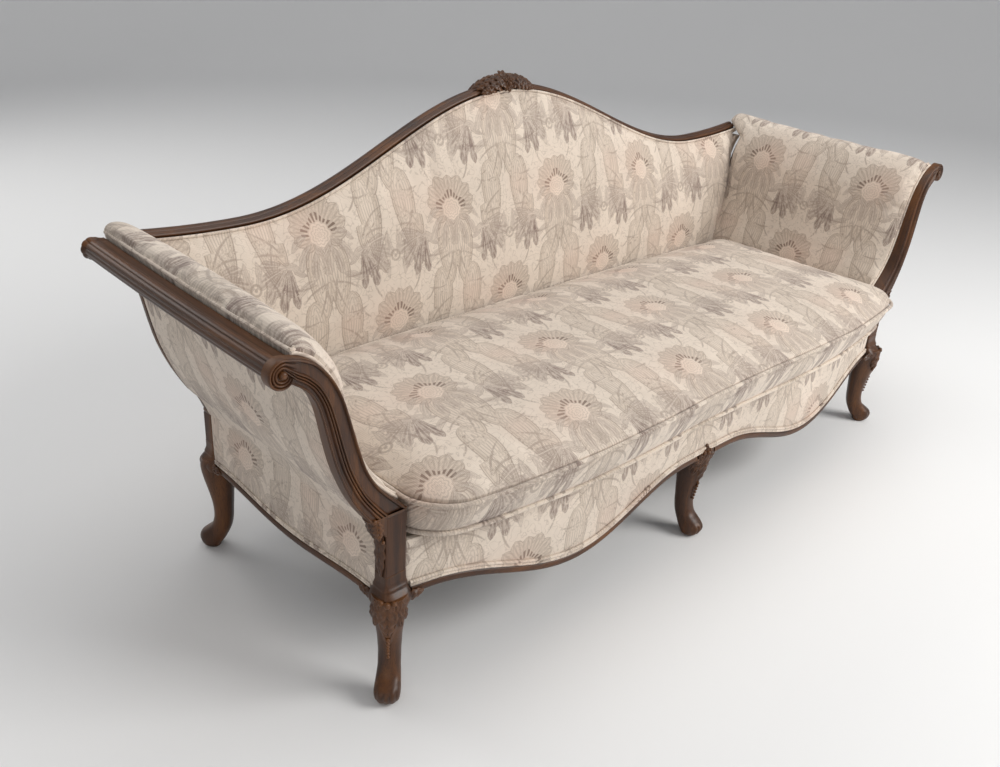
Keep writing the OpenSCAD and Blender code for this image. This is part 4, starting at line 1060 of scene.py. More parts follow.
def middle_leaf():
    """Leaves that rise over the bead from the knee of the middle leg."""
    knee = np.array([0, float(front_y(0.0)) - BEAD_PROUD, LEG_HEIGHT])
    parts = [carved_leaf(knee + (0, 1, -34), (0, 0, 1), (0, -1, 0), 50, 24, 5.0, 0.04, 4)]
    for sign in (-1, 1):
        side = np.array([sign, 1, 1])
        for start, way, *sizes in MIDDLE_LEAVES:
            parts.append(carved_leaf(knee + side * start, side * way, (0, -1, 0), *sizes))
        parts.append(ball(knee + side * (7, -1, -34), 4.2))
    parts.append(ball(knee + (0, -2, -38), 5.0))
    return joined(*parts)


show_wood_pair("arm_capital", "carved", capital(), WALNUT[2], 50)
show_wood("center_leg_leaf", middle_leaf(), WALNUT[2], sharp=60)


# %% Rear facings
REAR_START = (REAR_POST_TOP + GAP - POST_TOP) / ARM_RISE
REAR_END = ((SCROLL_Z - RAIL_R + float(lift(REAR_FACING_FRONT, 1)) - GAP - POST_TOP)
            / (ARM_RISE + float(lift(REAR_FACING_FRONT, 1))))
REAR_IN = [[0.03, REAR_START], [0.05, -0.02], [0.13, 0.075], [0.25, 0.183], [0.347, 0.31],
           [0.414, 0.457], [0.482, 0.644], [0.536, 0.77], [0.65, 0.885], [0.92, REAR_END]]
REAR_OUT = [[0.2, REAR_START], [0.27, -0.06], [0.36, 0.02], [0.49, 0.186], [0.592, 0.363],
            [0.65, 0.52], [0.708, 0.712], [0.76, 0.81], [0.83, 0.88], [0.965, REAR_END]]


def rear_facing(rows=110):
    """A plain S board with rounded arrises: rings of a rounded rectangle between two edges."""
    t = np.linspace(0, len(REAR_IN) - 1, rows)
    a, b = (arm_point(*through(edge, t).T, REAR_FACING_FRONT) for edge in (REAR_IN, REAR_OUT))
    w, d = (0.5 + 0.5 * squared(wave(turns(28)), 0.35) for wave in (np.cos, np.sin))
    ring = a[:, None] + (b - a)[:, None] * w[None, :, None]
    ring[..., 1] = REAR_FACING_FRONT + REAR_FACING_D * d[None, :]
    return shell(ring)


show_wood_pair("rear_facing", "shaped", rear_facing(), WALNUT[2])
print("show wood done")

# %% [markdown]
# Upholstery is stretched over padding, so each panel is a closed form with a crown that
# dies away at its edges, and small pulls where it is tacked. The pulls are a sum of a
# few sines whose waves run along the edge and fade with the distance from it.

# %% Pulls and ripples of the cloth
def pulls(along, away, size=1.2, reach=38.0, phase=0.0):
    """Tack pulls in mm: waves along an edge that fade with the distance away from it."""
    wave = (np.sin(along / 17 + phase) + 0.6 * np.sin(along / 9.3 + 1.7 + phase)
            + 0.5 * np.sin(along / 29 + 0.4))
    return size * 0.5 * wave * np.exp(-away / reach)


def ripple(u, v, size=1.0):
    """Slow unevenness of hand padding: three crossed waves, in mm."""
    return size * (np.sin(u / 83 + v / 120) + np.sin(v / 71 - u / 190 + 1) + np.sin((u + v) / 137 + 2)) / 3


# %% [markdown]
# A sewn cover is cut a little larger than its filling needs, and the filling presses it
# out between its seams. The three big soft faces go through Blender's Cloth for that: a
# coarser copy of the face has its border sewn down, is given slack, and air presses it
# from inside without gravity. Only the moves are kept, and the fine face takes them on
# along smooth curves, so no Cloth stays on a piece.

# %% Cloth pressed out between its seams
def pressed(face, out, pressure, slack, most, free=1.0, step=13.0, frames=16):
    """The face after its simulation: out is the side that it swells to, slack the share by
    which it is longer than its form, most the largest move in mm, and free, from 0 to 1,
    how much of the move each point takes."""
    sizes = [np.linalg.norm(np.diff(face, axis=k), axis=-1).sum(k).max() for k in (0, 1)]
    picks = [np.unique(np.round(np.linspace(0, n - 1, max(8, int(size / step)))).astype(int))
             for n, size in zip(face.shape, sizes)]
    coarse = face[np.ix_(*picks)]
    n, m = coarse.shape[:2]
    faces, flat = grid_faces(n, m), coarse.reshape(-1, 3)
    first, second, last = (flat[faces[:, k]] for k in (0, 1, 3))
    if (np.cross(second - first, last - first) @ np.array(out, float)).sum() < 0:
        faces = faces[:, ::-1]
    mesh = bpy.data.meshes.new("sewn_cover")
    mesh.from_pydata((flat * MM).tolist(), [], faces.tolist())
    obj = bpy.data.objects.new("sewn_cover", mesh)
    bpy.context.scene.collection.objects.link(obj)
    border = np.ones((n, m), bool)
    border[1:-1, 1:-1] = False
    obj.vertex_groups.new(name="seams").add(np.flatnonzero(border.ravel()).tolist(), 1.0, "REPLACE")
    cloth = obj.modifiers.new("settling", "CLOTH")
    cloth.settings.quality = 5
    cloth.settings.mass = 0.3
    cloth.settings.use_pressure = True
    cloth.settings.uniform_pressure_force = pressure
    cloth.settings.shrink_min = -slack
    cloth.settings.vertex_group_mass = "seams"
    cloth.settings.effector_weights.gravity = 0.0
    cloth.collision_settings.use_collision = False
    for number in range(1, frames + 1):
        bpy.context.scene.frame_set(number)
    end = np.empty(n * m * 3, np.float32)
    obj.evaluated_get(bpy.context.evaluated_depsgraph_get()).data.vertices.foreach_get("co", end)
    move = end.reshape(n, m, 3) / MM - coarse
    bpy.data.objects.remove(obj)
    bpy.data.meshes.remove(mesh)
    bpy.context.scene.frame_set(1)
    far = np.linalg.norm(move, axis=-1, keepdims=True) + 1e-9
    print("cloth moved", round(float(far.mean()), 2), "mm on average,", round(float(far.max()), 1),
          "at most")
    move = move * most * np.tanh(far / most) / far
    along, across = (through(np.eye(len(p)), np.interp(np.arange(k), p, np.arange(len(p))))
                     for p, k in zip(picks, face.shape))
    fine = np.einsum("jb,ibk->ijk", across, np.tensordot(along, move, (1, 0)))
    return face + fine * (free + 0 * face[..., 0])[..., None]


def above_seat(z):
    """0 up to the cushion's upper seam, and 1 from 60 mm above it."""
    return clamp((z - DECK - BOXING) / 60)

# %% Front cover, from the bead to the deck
def front_cover(stations=520, up=44):
    """Rings along x: a slightly crowned face and a plain back."""
    x = np.linspace(-POST_IN + GAP, POST_IN - GAP, stations)[:, None]
    low, high = front_edge(x) + BEAD + GAP, DECK + 0 * x
    s = np.linspace(0, 1, up)[None, :]
    z = low + (high - low) * s
    crown = 3.0 * np.sin(math.pi * s) ** 0.6 + pulls(x, (z - low), 0.9, 26) + ripple(x, z, 0.6)
    away = np.minimum((POST_IN - np.abs(x)) / 12, 1)
    y = front_y(x) + 1.2 - crown * away
    hidden = [points_of(x[:, 0], front_y(x[:, 0]) + COVER - GAP, level[:, 0]) for level in (low, high)]
    return folded(points_of(x, y, z), np.stack(hidden, 1))


part = front_cover()
obj = upholstered("front_cover", part, part[0][:, 0] + FRONT_CUT[0], part[0][:, 2] + FRONT_CUT[1])

# %% [markdown]
# The inside arm follows the S from the seat, over the padded top, to the rail. Its
# section is a smooth curve through given shares, and it swells towards the seat
# in the middle of the arm.

# %% Inside arms
PAD_FACE = [[0.023, -0.22], [0.023, -0.09], [0.032, 0.02], [0.092, 0.115], [0.207, 0.225], [0.3, 0.35],
            [0.37, 0.5], [0.435, 0.66], [0.49, 0.79], [0.58, 0.925], [0.7, 1.03], [0.8, 1.075], [0.868, 1.06]]
ARM_ROWS, ARM_UP, ARM_BACK = 180, 170, 26
PAD_HIDDEN = [[0.125, -0.22], [0.125, -0.09], [0.125, 0.005], [0.19, 0.08], [0.31, 0.185], [0.405, 0.315],
              [0.475, 0.47], [0.54, 0.64], [0.595, 0.765], [0.675, 0.865], [0.765, 0.94], [0.825, 0.965],
              [0.868, 1]]
PAD_SWELL = ([0.12, 0.3, 0.5, 0.8, 1.0, 1.08], [0, 0.35, 0.7, 1.15, 1.1, 0.95])


def pad_end(z):
    """Depth where the inside arm ends, at the back frame or the rear facing."""
    return np.where(z < REAR_POST_TOP + 10, REAR_FRONT, np.minimum(frame_y(z), REAR_FACING_FRONT)) - GAP


def pad_tail(rise):
    """The same, with the part over the arm's top running on past the end of the crest."""
    run_on = float(frame_y(SADDLE)) + CREST_D / 2 - REAR_FACING_FRONT
    return pad_end(POST_TOP + rise * ARM_RISE) + run_on * clamp((rise - 0.93) / 0.1)


def inside_arm(stations=ARM_ROWS, up=ARM_UP):
    """Rings across the arm: the show face, fine, and the hidden face, coarse."""
    share = (0.5 - 0.5 * np.cos(np.linspace(0, 1, stations) * math.pi) * 0.999)[:, None]
    start = POST_BACK + GAP
    grids = []
    for table, count in ((PAD_FACE, up), (PAD_HIDDEN, ARM_BACK)):
        run, rise = through(table, np.linspace(0, len(table) - 1, count)).T[:, None]
        grids.append((arm_point(run, rise, start + (pad_tail(rise) - start) * share), rise))
    (face, rise), (hidden, _) = grids
    swell = np.interp(rise, *PAD_SWELL)
    normal = square_to(face, 1)
    u, v = face[..., 1], run_length(face[stations // 2])[None, :]
    near_front, near_back, near_rail = u - start, u[-1:] - u, v[:, -1:] - v
    puff = swell * 21 * (1 - 0.8 * np.exp(-near_front / 30)) - 4.0 * np.exp(-near_front / 6)
    puff = puff + ripple(u, v, 1.2) + pulls(v + 0 * u, near_front, 1.0, 30)
    puff = puff + pulls(u, near_rail, 1.1, 26, 0.6) * clamp(near_rail / 10)
    puff = puff * np.sqrt(clamp(1 - (1 - clamp(near_rail / 34)) ** 2)) - 14 * swell * np.exp(-near_back / 5)
    face = face + normal * puff[..., None]
    face = pressed(face, (-1, 0, 0.6), 2.0, 0.007, 7.0, above_seat(face[..., 2]))
    return folded(face, hidden), u, v + 0 * u


part, u, v = inside_arm()
cloth_u, cloth_v = (on_face(w, ARM_BACK) + shift for w, shift in zip((u, v), ARM_CUT))
for side, one in both_sides(part):
    obj = upholstered(f"inside_arm_{side}", one, cloth_u, cloth_v)
print("inside arm is", round(float(v.max())), "mm from the seat to the rail")

# %% [markdown]
# The inside back fills the camel shape between the deck, the arms and the crest. Its
# top edge thins to the crest's underside, and its sides end where the arms' faces are.

# %% Inside back
def face_x(z, table, y):
    """Where the face of an arm's section is at height z, at depth y."""
    s = through(table, np.linspace(0, len(table) - 1.001, 240))
    s = s[: int(np.argmax(s[:, 1])) + 1]
    rise = s[:, 1] * (ARM_RISE + lift(y, 1.0))
    return np.minimum(np.interp(z, POST_TOP + rise, POST_IN + s[:, 0] * ARM_RUN), CREST_END)


CLOTH_DROP, ARM_DEPTH = 15.0, 560.0


def inside_back(across=560, up=150):
    """Rings from the deck up: crowned face across, then a flat back. The top edge runs up
    over the front of the crest rail, to CLOTH_DROP below its top, and the sides follow the
    arms' faces at ARM_DEPTH."""
    low = DECK + GAP
    v = np.linspace(0, 1, up)[:, None]
    edge_z = low + v * (crest_under(POST_IN) - low)
    half = face_x(edge_z, PAD_FACE, ARM_DEPTH) + 1.0
    u = np.sin(math.pi / 2 * np.linspace(-1, 1, across) * 0.9)[None, :] / math.sin(math.pi / 2 * 0.9)
    x = u * half
    top = crest_top(x) - CLOTH_DROP / np.cos(crest_slope(x))
    z = low + v * (top - low)
    thick = BACK_PAD * (1 - v ** 4) ** 0.6 * (1 - 0.3 * np.abs(u) ** 10)
    top_away, side_away = (1 - v) * (top - low), (1 - np.abs(u)) * half
    pull = ripple(x, z, 1.4) + pulls(x, top_away, 1.5, 34) + pulls(z, side_away, 1.2, 30)
    thick = thick + pull * np.minimum(1, top_away / 14) * clamp(v / 0.04)
    face = np.stack([x, frame_y(z) - GAP - 4 - clamp(thick, 0, 99), z], -1)
    face = pressed(face, (0, -1, 0), 2.0, 0.005, 7.0, above_seat(z))
    back = np.stack([x, frame_y(z) - GAP, z], -1)[:, np.linspace(0, across - 1, 40).astype(int)]
    return folded(face, back)


part = inside_back()
slope_way = (part[0][:, 2] - DECK) / math.cos(BACK_RAKE)
obj = upholstered("inside_back", part, part[0][:, 0] + BACK_CUT[0],
                  slope_way + (BACK_CUT[1] + DECK) / math.cos(BACK_RAKE), sharp=60)
print("inside back", len(part[0]), "points")


# %% Outside back, from the seat rail to the crest
def outside_back(across=260, up=90):
    """Rings from the rail up: a drum-tight outer face and a coarse inner one."""
    low = LEG_HEIGHT + GAP
    v = np.linspace(0, 1, up)[:, None]
    edge_z = low + v * (crest_under(POST_IN) - low)
    wide = face_x(edge_z, REAR_IN, REAR_FACING_FRONT) - GAP
    half = np.where(edge_z < REAR_POST_TOP + 5, POST_IN - GAP, wide)
    u = np.linspace(-1, 1, across)[None, :]
    x = u * half
    z = low + v * (crest_under(x) - 1.6 - low)
    y = frame_y(z) + REAR_FACE - BACK_COVER - 0.3 - REAR_FRONT + GAP
    edge = np.minimum(1, np.minimum((1 - np.abs(u)) * half, 99) / 8 + 0 * v)
    y_out = y + BACK_COVER - 1.5 * (1 - edge) ** 2 + ripple(x, z, 0.5) * edge
    inner = np.minimum(y, np.where(np.abs(u) > 0.97, REAR_FACE + GAP, 1e9))
    return folded(np.stack([x, y_out, z], -1), np.stack([x, inner, z], -1))


part = outside_back()
obj = upholstered("outside_back", part, -part[0][:, 0] + BEHIND_CUT[0],
                  (part[0][:, 2] - DECK) / math.cos(BACK_RAKE) + BEHIND_CUT[1], sharp=60)

# %% Outside arms, from the bead to the rail
PANEL_FACE = [[0.207, REAR_START], [0.23, -0.13], [0.29, -0.04], [0.38, 0.04], [0.492, 0.186], [0.592, 0.363],
              [0.65, 0.52], [0.708, 0.712], [0.755, 0.81], [0.805, 0.862], [0.855, 0.89], [0.89, 0.9]]


def outside_arm(stations=170, up=150):
    """Rings of the panel at each depth: the foot follows the scallop, then the S goes up."""
    start = POST_BACK + GAP
    share = np.linspace(0, 1, stations)[:, None]
    t = np.concatenate([np.linspace(0, 1, 30), 1 + np.linspace(0.02, 1, up - 30) * (len(PANEL_FACE) - 1)])
    end = np.where(t < 1.0, REAR_FRONT, REAR_FACING_FRONT) - GAP
    y = start + (end[None, :] - start) * share
    s = through(PANEL_FACE, clamp(t - 1, 0, len(PANEL_FACE) - 1.0))[None]
    p = arm_point(s[..., 0], s[..., 1], y)
    foot = side_edge(y) + BEAD + GAP
    low = t[None, :] < 1
    p[..., 2] = np.where(low, foot + (p[..., 2] - foot) * clamp(t[None, :]), p[..., 2])
    normal = -square_to(p, 1)
    v = np.cumsum(np.linalg.norm(np.gradient(p, axis=1), axis=-1), axis=1)
    v = v + (p[:, :1, 2] - SIDE_LOW)
    edge = np.minimum(np.minimum((y - start), (end - y)) / 9, 1)
    edge = np.minimum(edge, np.minimum(v - v[:, :1], v[:, -1:] - v) / 9)
    puff = (ripple(y, v, 0.7) + 0.8) * clamp(edge) - 1.2 * (1 - clamp(edge)) ** 2
    face = p + normal * puff[..., None]
    inner = (p - normal * np.array([PANEL, 0, 0]))[:, np.linspace(0, up - 1, 40).astype(int)]
    return folded(face, inner), y, v


part, u, v = outside_arm()
cloth_u, cloth_v = (on_face(w, 40) + shift for w, shift in zip((-u, v), SIDE_CUT))
for side, one in both_sides(part):
    obj = upholstered(f"outside_arm_{side}", one, cloth_u, cloth_v)
print("outside arm", len(part[0]), "points")

# %% [markdown]
# The loose cushion has a boxing between two welted seams. Its top is a crowned grid
# under a soft minimum of the distances to its edges; its sides run down from the top's
# own rim, so the two share their points. The front leans out over the rail and follows
# the serpentine, and both front corners are rounded.

# %% The loose seat cushion
CUSHION_HALF = POST_IN - 6.0
CUSHION_LOW = DECK + GAP
CUSHION_BACK = float(frame_y(CUSHION_LOW)) - BACK_PAD - 4 - WELT_R - 2 * GAP
WELT_LOW, WELT_HIGH = CUSHION_LOW + 2 * WELT_R, DECK + BOXING
CROWN_TABLE = np.array([[0, 0], [3, 5], [8, 9.5], [18, 15], [45, 23], [90, 29], [150, 32], [225, 33.5],
                        [400, 34]])
EDGE_POWER = 2.6


def corner_drop(x, r):
    """How far a rounded corner of radius r has fallen away at x."""
    t = clamp(np.abs(x) - (CUSHION_HALF - r), 0, r)
    return r - np.sqrt(r * r - t * t)


def droop(x):
    """How much lower the cushion's top lies towards its ends: the cube of the way out."""
    return DROOP * (np.abs(x) / CUSHION_HALF) ** 3


def cushion_line(x, share, lean, inset=0.0):
    """Depth at x of a level's outline: share 0 is its front, share 1 its back."""
    front = front_y(x) - lean + corner_drop(x, 80.0) + inset
    back = CUSHION_BACK - corner_drop(x, 30.0) - inset
    return front + (back - front) * share


def seat_cushion(nx=430, ny=150):
    """A grid for the top, rings for the sides from its rim down, and a middle point below."""
    seam = WELT_R + GAP
    a = np.sin(math.pi / 2 * np.linspace(-1, 1, nx))[:, None]
    a = 0.35 * a + 0.65 * np.linspace(-1, 1, nx)[:, None]
    b = (0.5 - 0.5 * np.cos(math.pi * np.linspace(0, 1, ny)))[None, :]
    b = 0.5 * b + 0.5 * np.linspace(0, 1, ny)[None, :]
    squeeze = 1 - seam / CUSHION_HALF
    x = a * CUSHION_HALF
    y = cushion_line(x, b, OVERHANG, seam) + 0 * x
    x = x * squeeze + 0 * b
    front_away = y - cushion_line(x, 0, OVERHANG, seam)
    back_away = cushion_line(x, 1, OVERHANG, seam) - y
    end_away = CUSHION_HALF - seam - np.abs(x)
    away = sum(clamp(gap, 0.01, 999) ** -EDGE_POWER
               for gap in (front_away, back_away, end_away)) ** (-1 / EDGE_POWER)
    z = WELT_HIGH + WELT_R + np.interp(away, CROWN_TABLE[:, 0], CROWN_TABLE[:, 1]) - droop(x)
    tacks = (pulls(x, front_away, 2.4, 46) + pulls(x, back_away, 1.6, 30, 2.0)
             + pulls(y, end_away, 2.0, 40, 1.0))
    z = z + (tacks * clamp(away / 12) + ripple(x, y, 2.0) * clamp(away / 60))
    top = pressed(np.stack([x, y, z], -1), (0, 0, 1), 2.0, 0.006, 10.0)
    index = np.arange(nx * ny).reshape(nx, ny)
    rim = np.concatenate([index[:, 0], index[-1, 1:-1], index[::-1, -1], index[0, -2:0:-1]])
    a_rim = np.concatenate([a[:, 0], 1 + 0 * b[0, 1:-1], a[::-1, 0], -1 + 0 * b[0, 1:-1]])
    b_rim = np.concatenate([0 * a[:, 0], b[0, 1:-1], 1 + 0 * a[:, 0], b[0, -2:0:-1]])
    side = WELT_HIGH - WELT_LOW
    levels = [(seam, 1.0, WELT_HIGH - WELT_R)]
    for k in np.linspace(0.05, 0.95, 26):
        bulge = 5.5 * math.sin(math.pi * k) ** 0.5
        levels.append((seam - bulge + 0.6, 1 - 0.5 * k ** 1.1, WELT_HIGH - side * k))
    levels += [(seam, 0.5, WELT_LOW - WELT_R), (seam * 2, 0.5, CUSHION_LOW)]
    rings, way, xr = [top.reshape(-1, 3)], [np.zeros(nx * ny)], a_rim * CUSHION_HALF
    for inset, lean, level in levels:
        share = clamp((level - WELT_LOW) / side)
        swing = math.sin(math.pi * share)
        wave = 1.3 * np.sin(xr / 23 + b_rim * 21) * swing + 0.8 * np.sin(xr / 11 + 2 + b_rim * 40) * swing
        inset = inset + wave * (0.5 if inset < seam else 0.0)
        xs = xr * (1 - inset / CUSHION_HALF)
        ys = cushion_line(xr, b_rim, OVERHANG * lean, inset)
        rings.append(np.stack([xs, ys, level - share * droop(xr)], -1))
        way.append(np.full(len(xr), WELT_HIGH - level))
    points = np.vstack(rings + [[[0, CUSHION_BACK / 2, CUSHION_LOW]]])
    m = len(rim)
    ids = [rim] + [nx * ny + k * m + np.arange(m) for k in range(len(levels))]
    faces = [grid_faces(nx, ny)]
    for upper, lower in zip(ids[:-1], ids[1:]):
        faces.append(np.stack([upper, lower, np.roll(lower, -1), np.roll(upper, -1)], -1))
    last, j = ids[-1], np.arange(0, m - 1, 2)
    middle = np.full_like(j, len(points) - 1)
    faces.append(np.stack([last[j], middle, last[(j + 2) % m], last[(j + 1) % m]], -1))
    faces = np.vstack(faces)
    if signed_volume(points, faces) < 0:
        faces = faces[:, ::-1]
    share = np.concatenate([np.zeros(nx * ny), np.tile(b_rim, len(levels)), [0.5]])
    return (points, faces), np.concatenate(way + [[0.0]]), nx * ny, share


part, way, top_count, share = seat_cushion()
x, y = part[0][:, 0], part[0][:, 1]
on_side = np.arange(len(x)) >= top_count
front_side = on_side & (share < 0.02)
cloth_v = np.where(front_side, y - way * 0.94, y)
cloth_u = x + np.where(on_side & ~front_side, np.sign(x) * way, 0)
obj = upholstered("seat_cushion", part, cloth_u + CUSHION_CUT[0], cloth_v + CUSHION_CUT[1],
                  body="cushion", sharp=70)
print("cushion", len(part[0]), "points")

# %% [markdown]
# Welts are cords covered in the same cloth. Two single ones close the cushion's seams,
# and pairs of thinner ones hide the tacks where a cover meets the wood.

# %% Cushion welts
def cushion_welt(level, lean, count=900):
    """A closed cord round the cushion at a height, through points of even spacing."""
    x = CUSHION_HALF * np.sin(np.linspace(-math.pi / 2, math.pi / 2, 400))
    front = np.stack([x, cushion_line(x, 0, OVERHANG * lean)], -1)
    back = np.stack([x, cushion_line(x, 1, OVERHANG * lean)], -1)[::-1]
    loop = np.vstack([front, back, front[:1]])
    way = run_length(loop)
    want = np.linspace(0, way[-1], count, endpoint=False)
    x, y = (np.interp(want, way, loop[:, k]) for k in (0, 1))
    drop = droop(x) * clamp((level - WELT_LOW) / (WELT_HIGH - WELT_LOW))
    wander = 0.5 * np.sin(want / 37) + 0.4 * np.sin(want / 61 + 1)
    return tube(np.stack([x, y + wander * 0.5, level - drop + wander], -1), WELT_R, 12, closed=True)


both = [cushion_welt(WELT_LOW, 0.5), cushion_welt(WELT_HIGH, 1.0)]
obj = piece("cushion_welts_covered", joined(*both), DAMASK, body="cushion",
            stands_for=["cushion_welts"], sharp=80)
x, y, z = np.vstack([part[0] for part in both]).T
dressed(obj, x + CUSHION_CUT[0], y + CUSHION_CUT[1] + (z - WELT_HIGH) * 0.94)


# %% Double welts along the wood
def double_welt(path, aside, radius=3.1):
    """Two cords side by side: a path moved half a cord each way along aside."""
    path, aside = np.asarray(path, float), np.asarray(aside, float)
    return joined(*(tube(path + aside * radius * k, radius, 10) for k in (-1, 1)))


def welt_piece(name, part, across, shift, mirror=False):
    """A double welt as a dressed piece. Its cloth runs on from the panel beside it, whose
    way across is x or y, and whose coordinates are shifted by shift."""
    sides = [(f"{name}_{side}", one) for side, one in both_sides(part)] if mirror else [(name, part)]
    for full_name, one in sides:
        obj = piece(full_name, one, DAMASK, sharp=80)
        dressed(obj, part[0][:, across] + shift[0], part[0][:, 2] + shift[1])


x = np.linspace(-CREST_END + 4, CREST_END - 4, 420)
slope = crest_slope(x)
z = crest_top(x) - (CLOTH_DROP + 2.0) / np.cos(slope)
crest_path = np.stack([x, frame_y(z) - 6.0, z], -1)
upward = np.stack([-np.sin(slope), 0 * x, np.cos(slope)], -1)
welt_piece("crest_double_welt", double_welt(crest_path, upward), 0, BACK_CUT)

s = through(FACING_IN, np.linspace(0, len(FACING_IN) - 1.2, 220))
edge = arm_point(s[:, 0], s[:, 1], POST_BACK)
inward = square_to(edge, 0)
edge = edge + inward * 4.2 + np.array([0, 1.8, 0])
welt_piece("facing_double_welt", double_welt(edge, inward * 0.5 + np.array([0, 0.87, 0])),
           1, (ARM_CUT[0], -200), mirror=True)

y = np.linspace(POST_BACK + 6, float(frame_y(SADDLE)) + 4, 160)
rail_path = np.stack([994.5 + 0 * y, y, 709.5 + lift(y, 1.0)], -1)
welt_piece("arm_rail_double_welt", double_welt(rail_path, [[-0.95, 0, 0.3]], 3.5),
           1, (ARM_CUT[0], -190), mirror=True)

x = np.linspace(-POST_IN + 8, POST_IN - 8, 500)
foot = np.stack([x, front_y(x) - 2.5, front_edge(x) + BEAD + 4.0], -1)
welt_piece("front_double_welt", double_welt(foot, [[0, 0, 1]]), 0, FRONT_CUT)

y = np.linspace(POST_BACK + 8, REAR_FRONT - 8, 200)
foot = np.stack([PANEL_OUT + 1.2 + 0 * y, y, side_edge(y) + BEAD + 3.6], -1)
welt_piece("side_double_welt", double_welt(foot, [[0, 0, 1]], 2.6), 1, SIDE_CUT, mirror=True)
print("welts done")

# %% [markdown]
# Under the cushion lie a firm deck pad on burlap, and zigzag springs from rail to rail.
# A black cloth closes the seat from below. The wooden frame inside keeps its solids,
# which get the look of sawn beech.

# %% Deck, burlap, dust cover and springs
PAD_LOW, BURLAP_LEVELS, DUST_LEVELS = 297.6, (296.1, 297.3), (223.3, 224.5)


def seat_slab(near, far, half, low, high, crown=0.0, across=120, deep=60):
    """A slab that follows the front: rings along x, with a soft crown on its top."""
    x = half * np.sin(np.linspace(-1, 1, across) * math.pi / 2)[:, None]
    share = (0.5 - 0.5 * np.cos(np.linspace(0, 1, deep) * math.pi))[None, :]
    y = front_y(x) + near + (far - front_y(x) - near) * share
    inside = clamp(np.minimum(np.minimum(y - y[:, :1], y[:, -1:] - y), half - np.abs(x)) / 40)
    top = high - crown * (1 - np.sqrt(inside * (2 - inside))) + 0.3 * crown * ripple(x, y, 1.0) * inside
    face = points_of(x, y, clamp(top, low + 1, high))
    return shell(np.concatenate([face, points_of(x, y, low)[:, ::-1]], 1))


deck = piece("deck_pad_covered", seat_slab(COVER, REAR_FRONT - GAP, POST_IN - GAP, PAD_LOW, DECK - 0.2, 5.0),
             DECK_CLOTH, stands_for=["deck_pad"])


def seat_cloth(name, stands, near, half, low, high, material, slot):
    """A stretched cloth as a thin slab."""
    part = seat_slab(near, REAR_FRONT - GAP, half, low, high)
    obj = piece(name, part, material, stands_for=[stands], sharp=30)


seat_cloth("spring_burlap_woven", "spring_burlap", COVER, POST_IN - GAP, *BURLAP_LEVELS,
           BURLAP, "burlap_cloth")
seat_cloth("dust_cover_cloth", "dust_cover", COVER + RAIL_THICK + 1.2, RAIL_OUT - RAIL_THICK - GAP,
           *DUST_LEVELS, DUST_CLOTH, "dust_cloth")
print("seat cloths done")

# %% Zigzag seat springs
WIRE_R, SPRING_REACH, SPRING_HOOK = 1.9, 710.2, 12.85


def spring(x, bars=12, width=78.0, per_turn=9):
    """One wire: straight bars across, joined by half turns at alternate sides."""
    start = float(front_y(x)) + COVER + RAIL_THICK / 2
    pitch = (REAR_FRONT + SPRING_HOOK - start) / bars
    bar = (width - pitch) / 2
    i = np.arange(bars + 1)[:, None]
    side = np.where(i % 2 == 0, 1.0, -1.0)
    across = np.linspace(-1, 1, 7)[None, :] * bar * side
    bar_points = np.stack([across, i * pitch + 0 * across], -1)
    a = np.linspace(0, math.pi, per_turn + 2)[None, 1:-1]
    turn_points = np.stack([side * (bar + pitch / 2 * np.sin(a)), (i + 0.5 - np.cos(a) / 2) * pitch], -1)
    path = np.concatenate([bar_points, turn_points], 1).reshape(-1, 2)[:-per_turn]
    return tube(points_of(x + path[:, 0], start + path[:, 1], RAIL_TOP + WIRE_R), WIRE_R, 8)


STEEL, tree, surface = blank("oil_tempered_spring_wire")
place = add(tree, "TexCoord").outputs["Object"]
stain = add(tree, "TexNoise", {"Vector": place, "Scale": 45.0, "Detail": 4.0}).outputs["Fac"]
fill(tree, surface, {"Base Color": ramp(tree, stain, [(0.35, "#565350"), (0.6, "#7d7975")]),
                     "Metallic": 1.0, "Roughness": 0.42})
spots = SPRING_REACH * (2 * np.arange(8) / 7 - 1)
piece("seat_springs_zigzag", joined(*(spring(float(x)) for x in spots)), STEEL,
      stands_for=["seat_springs"], sharp=60)

# %% Sawn beech on the frame's own solids
for name, along in (("front_rail", 0), ("rear_rail", 0), ("side_rail_left", 1), ("side_rail_right", 1),
                    ("seat_braces", 1), ("corner_blocks", 0), ("arm_slats", 1), ("back_uprights", 2),
                    ("back_tack_rails", 0)):
    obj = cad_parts[name]
    obj.data.materials.clear()
    obj.data.materials.append(BEECH[along])
print("frame solids", len(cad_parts))

# %% [markdown]
# The floor and the backdrop are one pale round surface that curves up into a wall on
# all sides. Large soft lamps stand at the front right, overhead and at the left, so
# that the left arm's outside is in shade, as in the photograph. A weaker one lights
# the back.

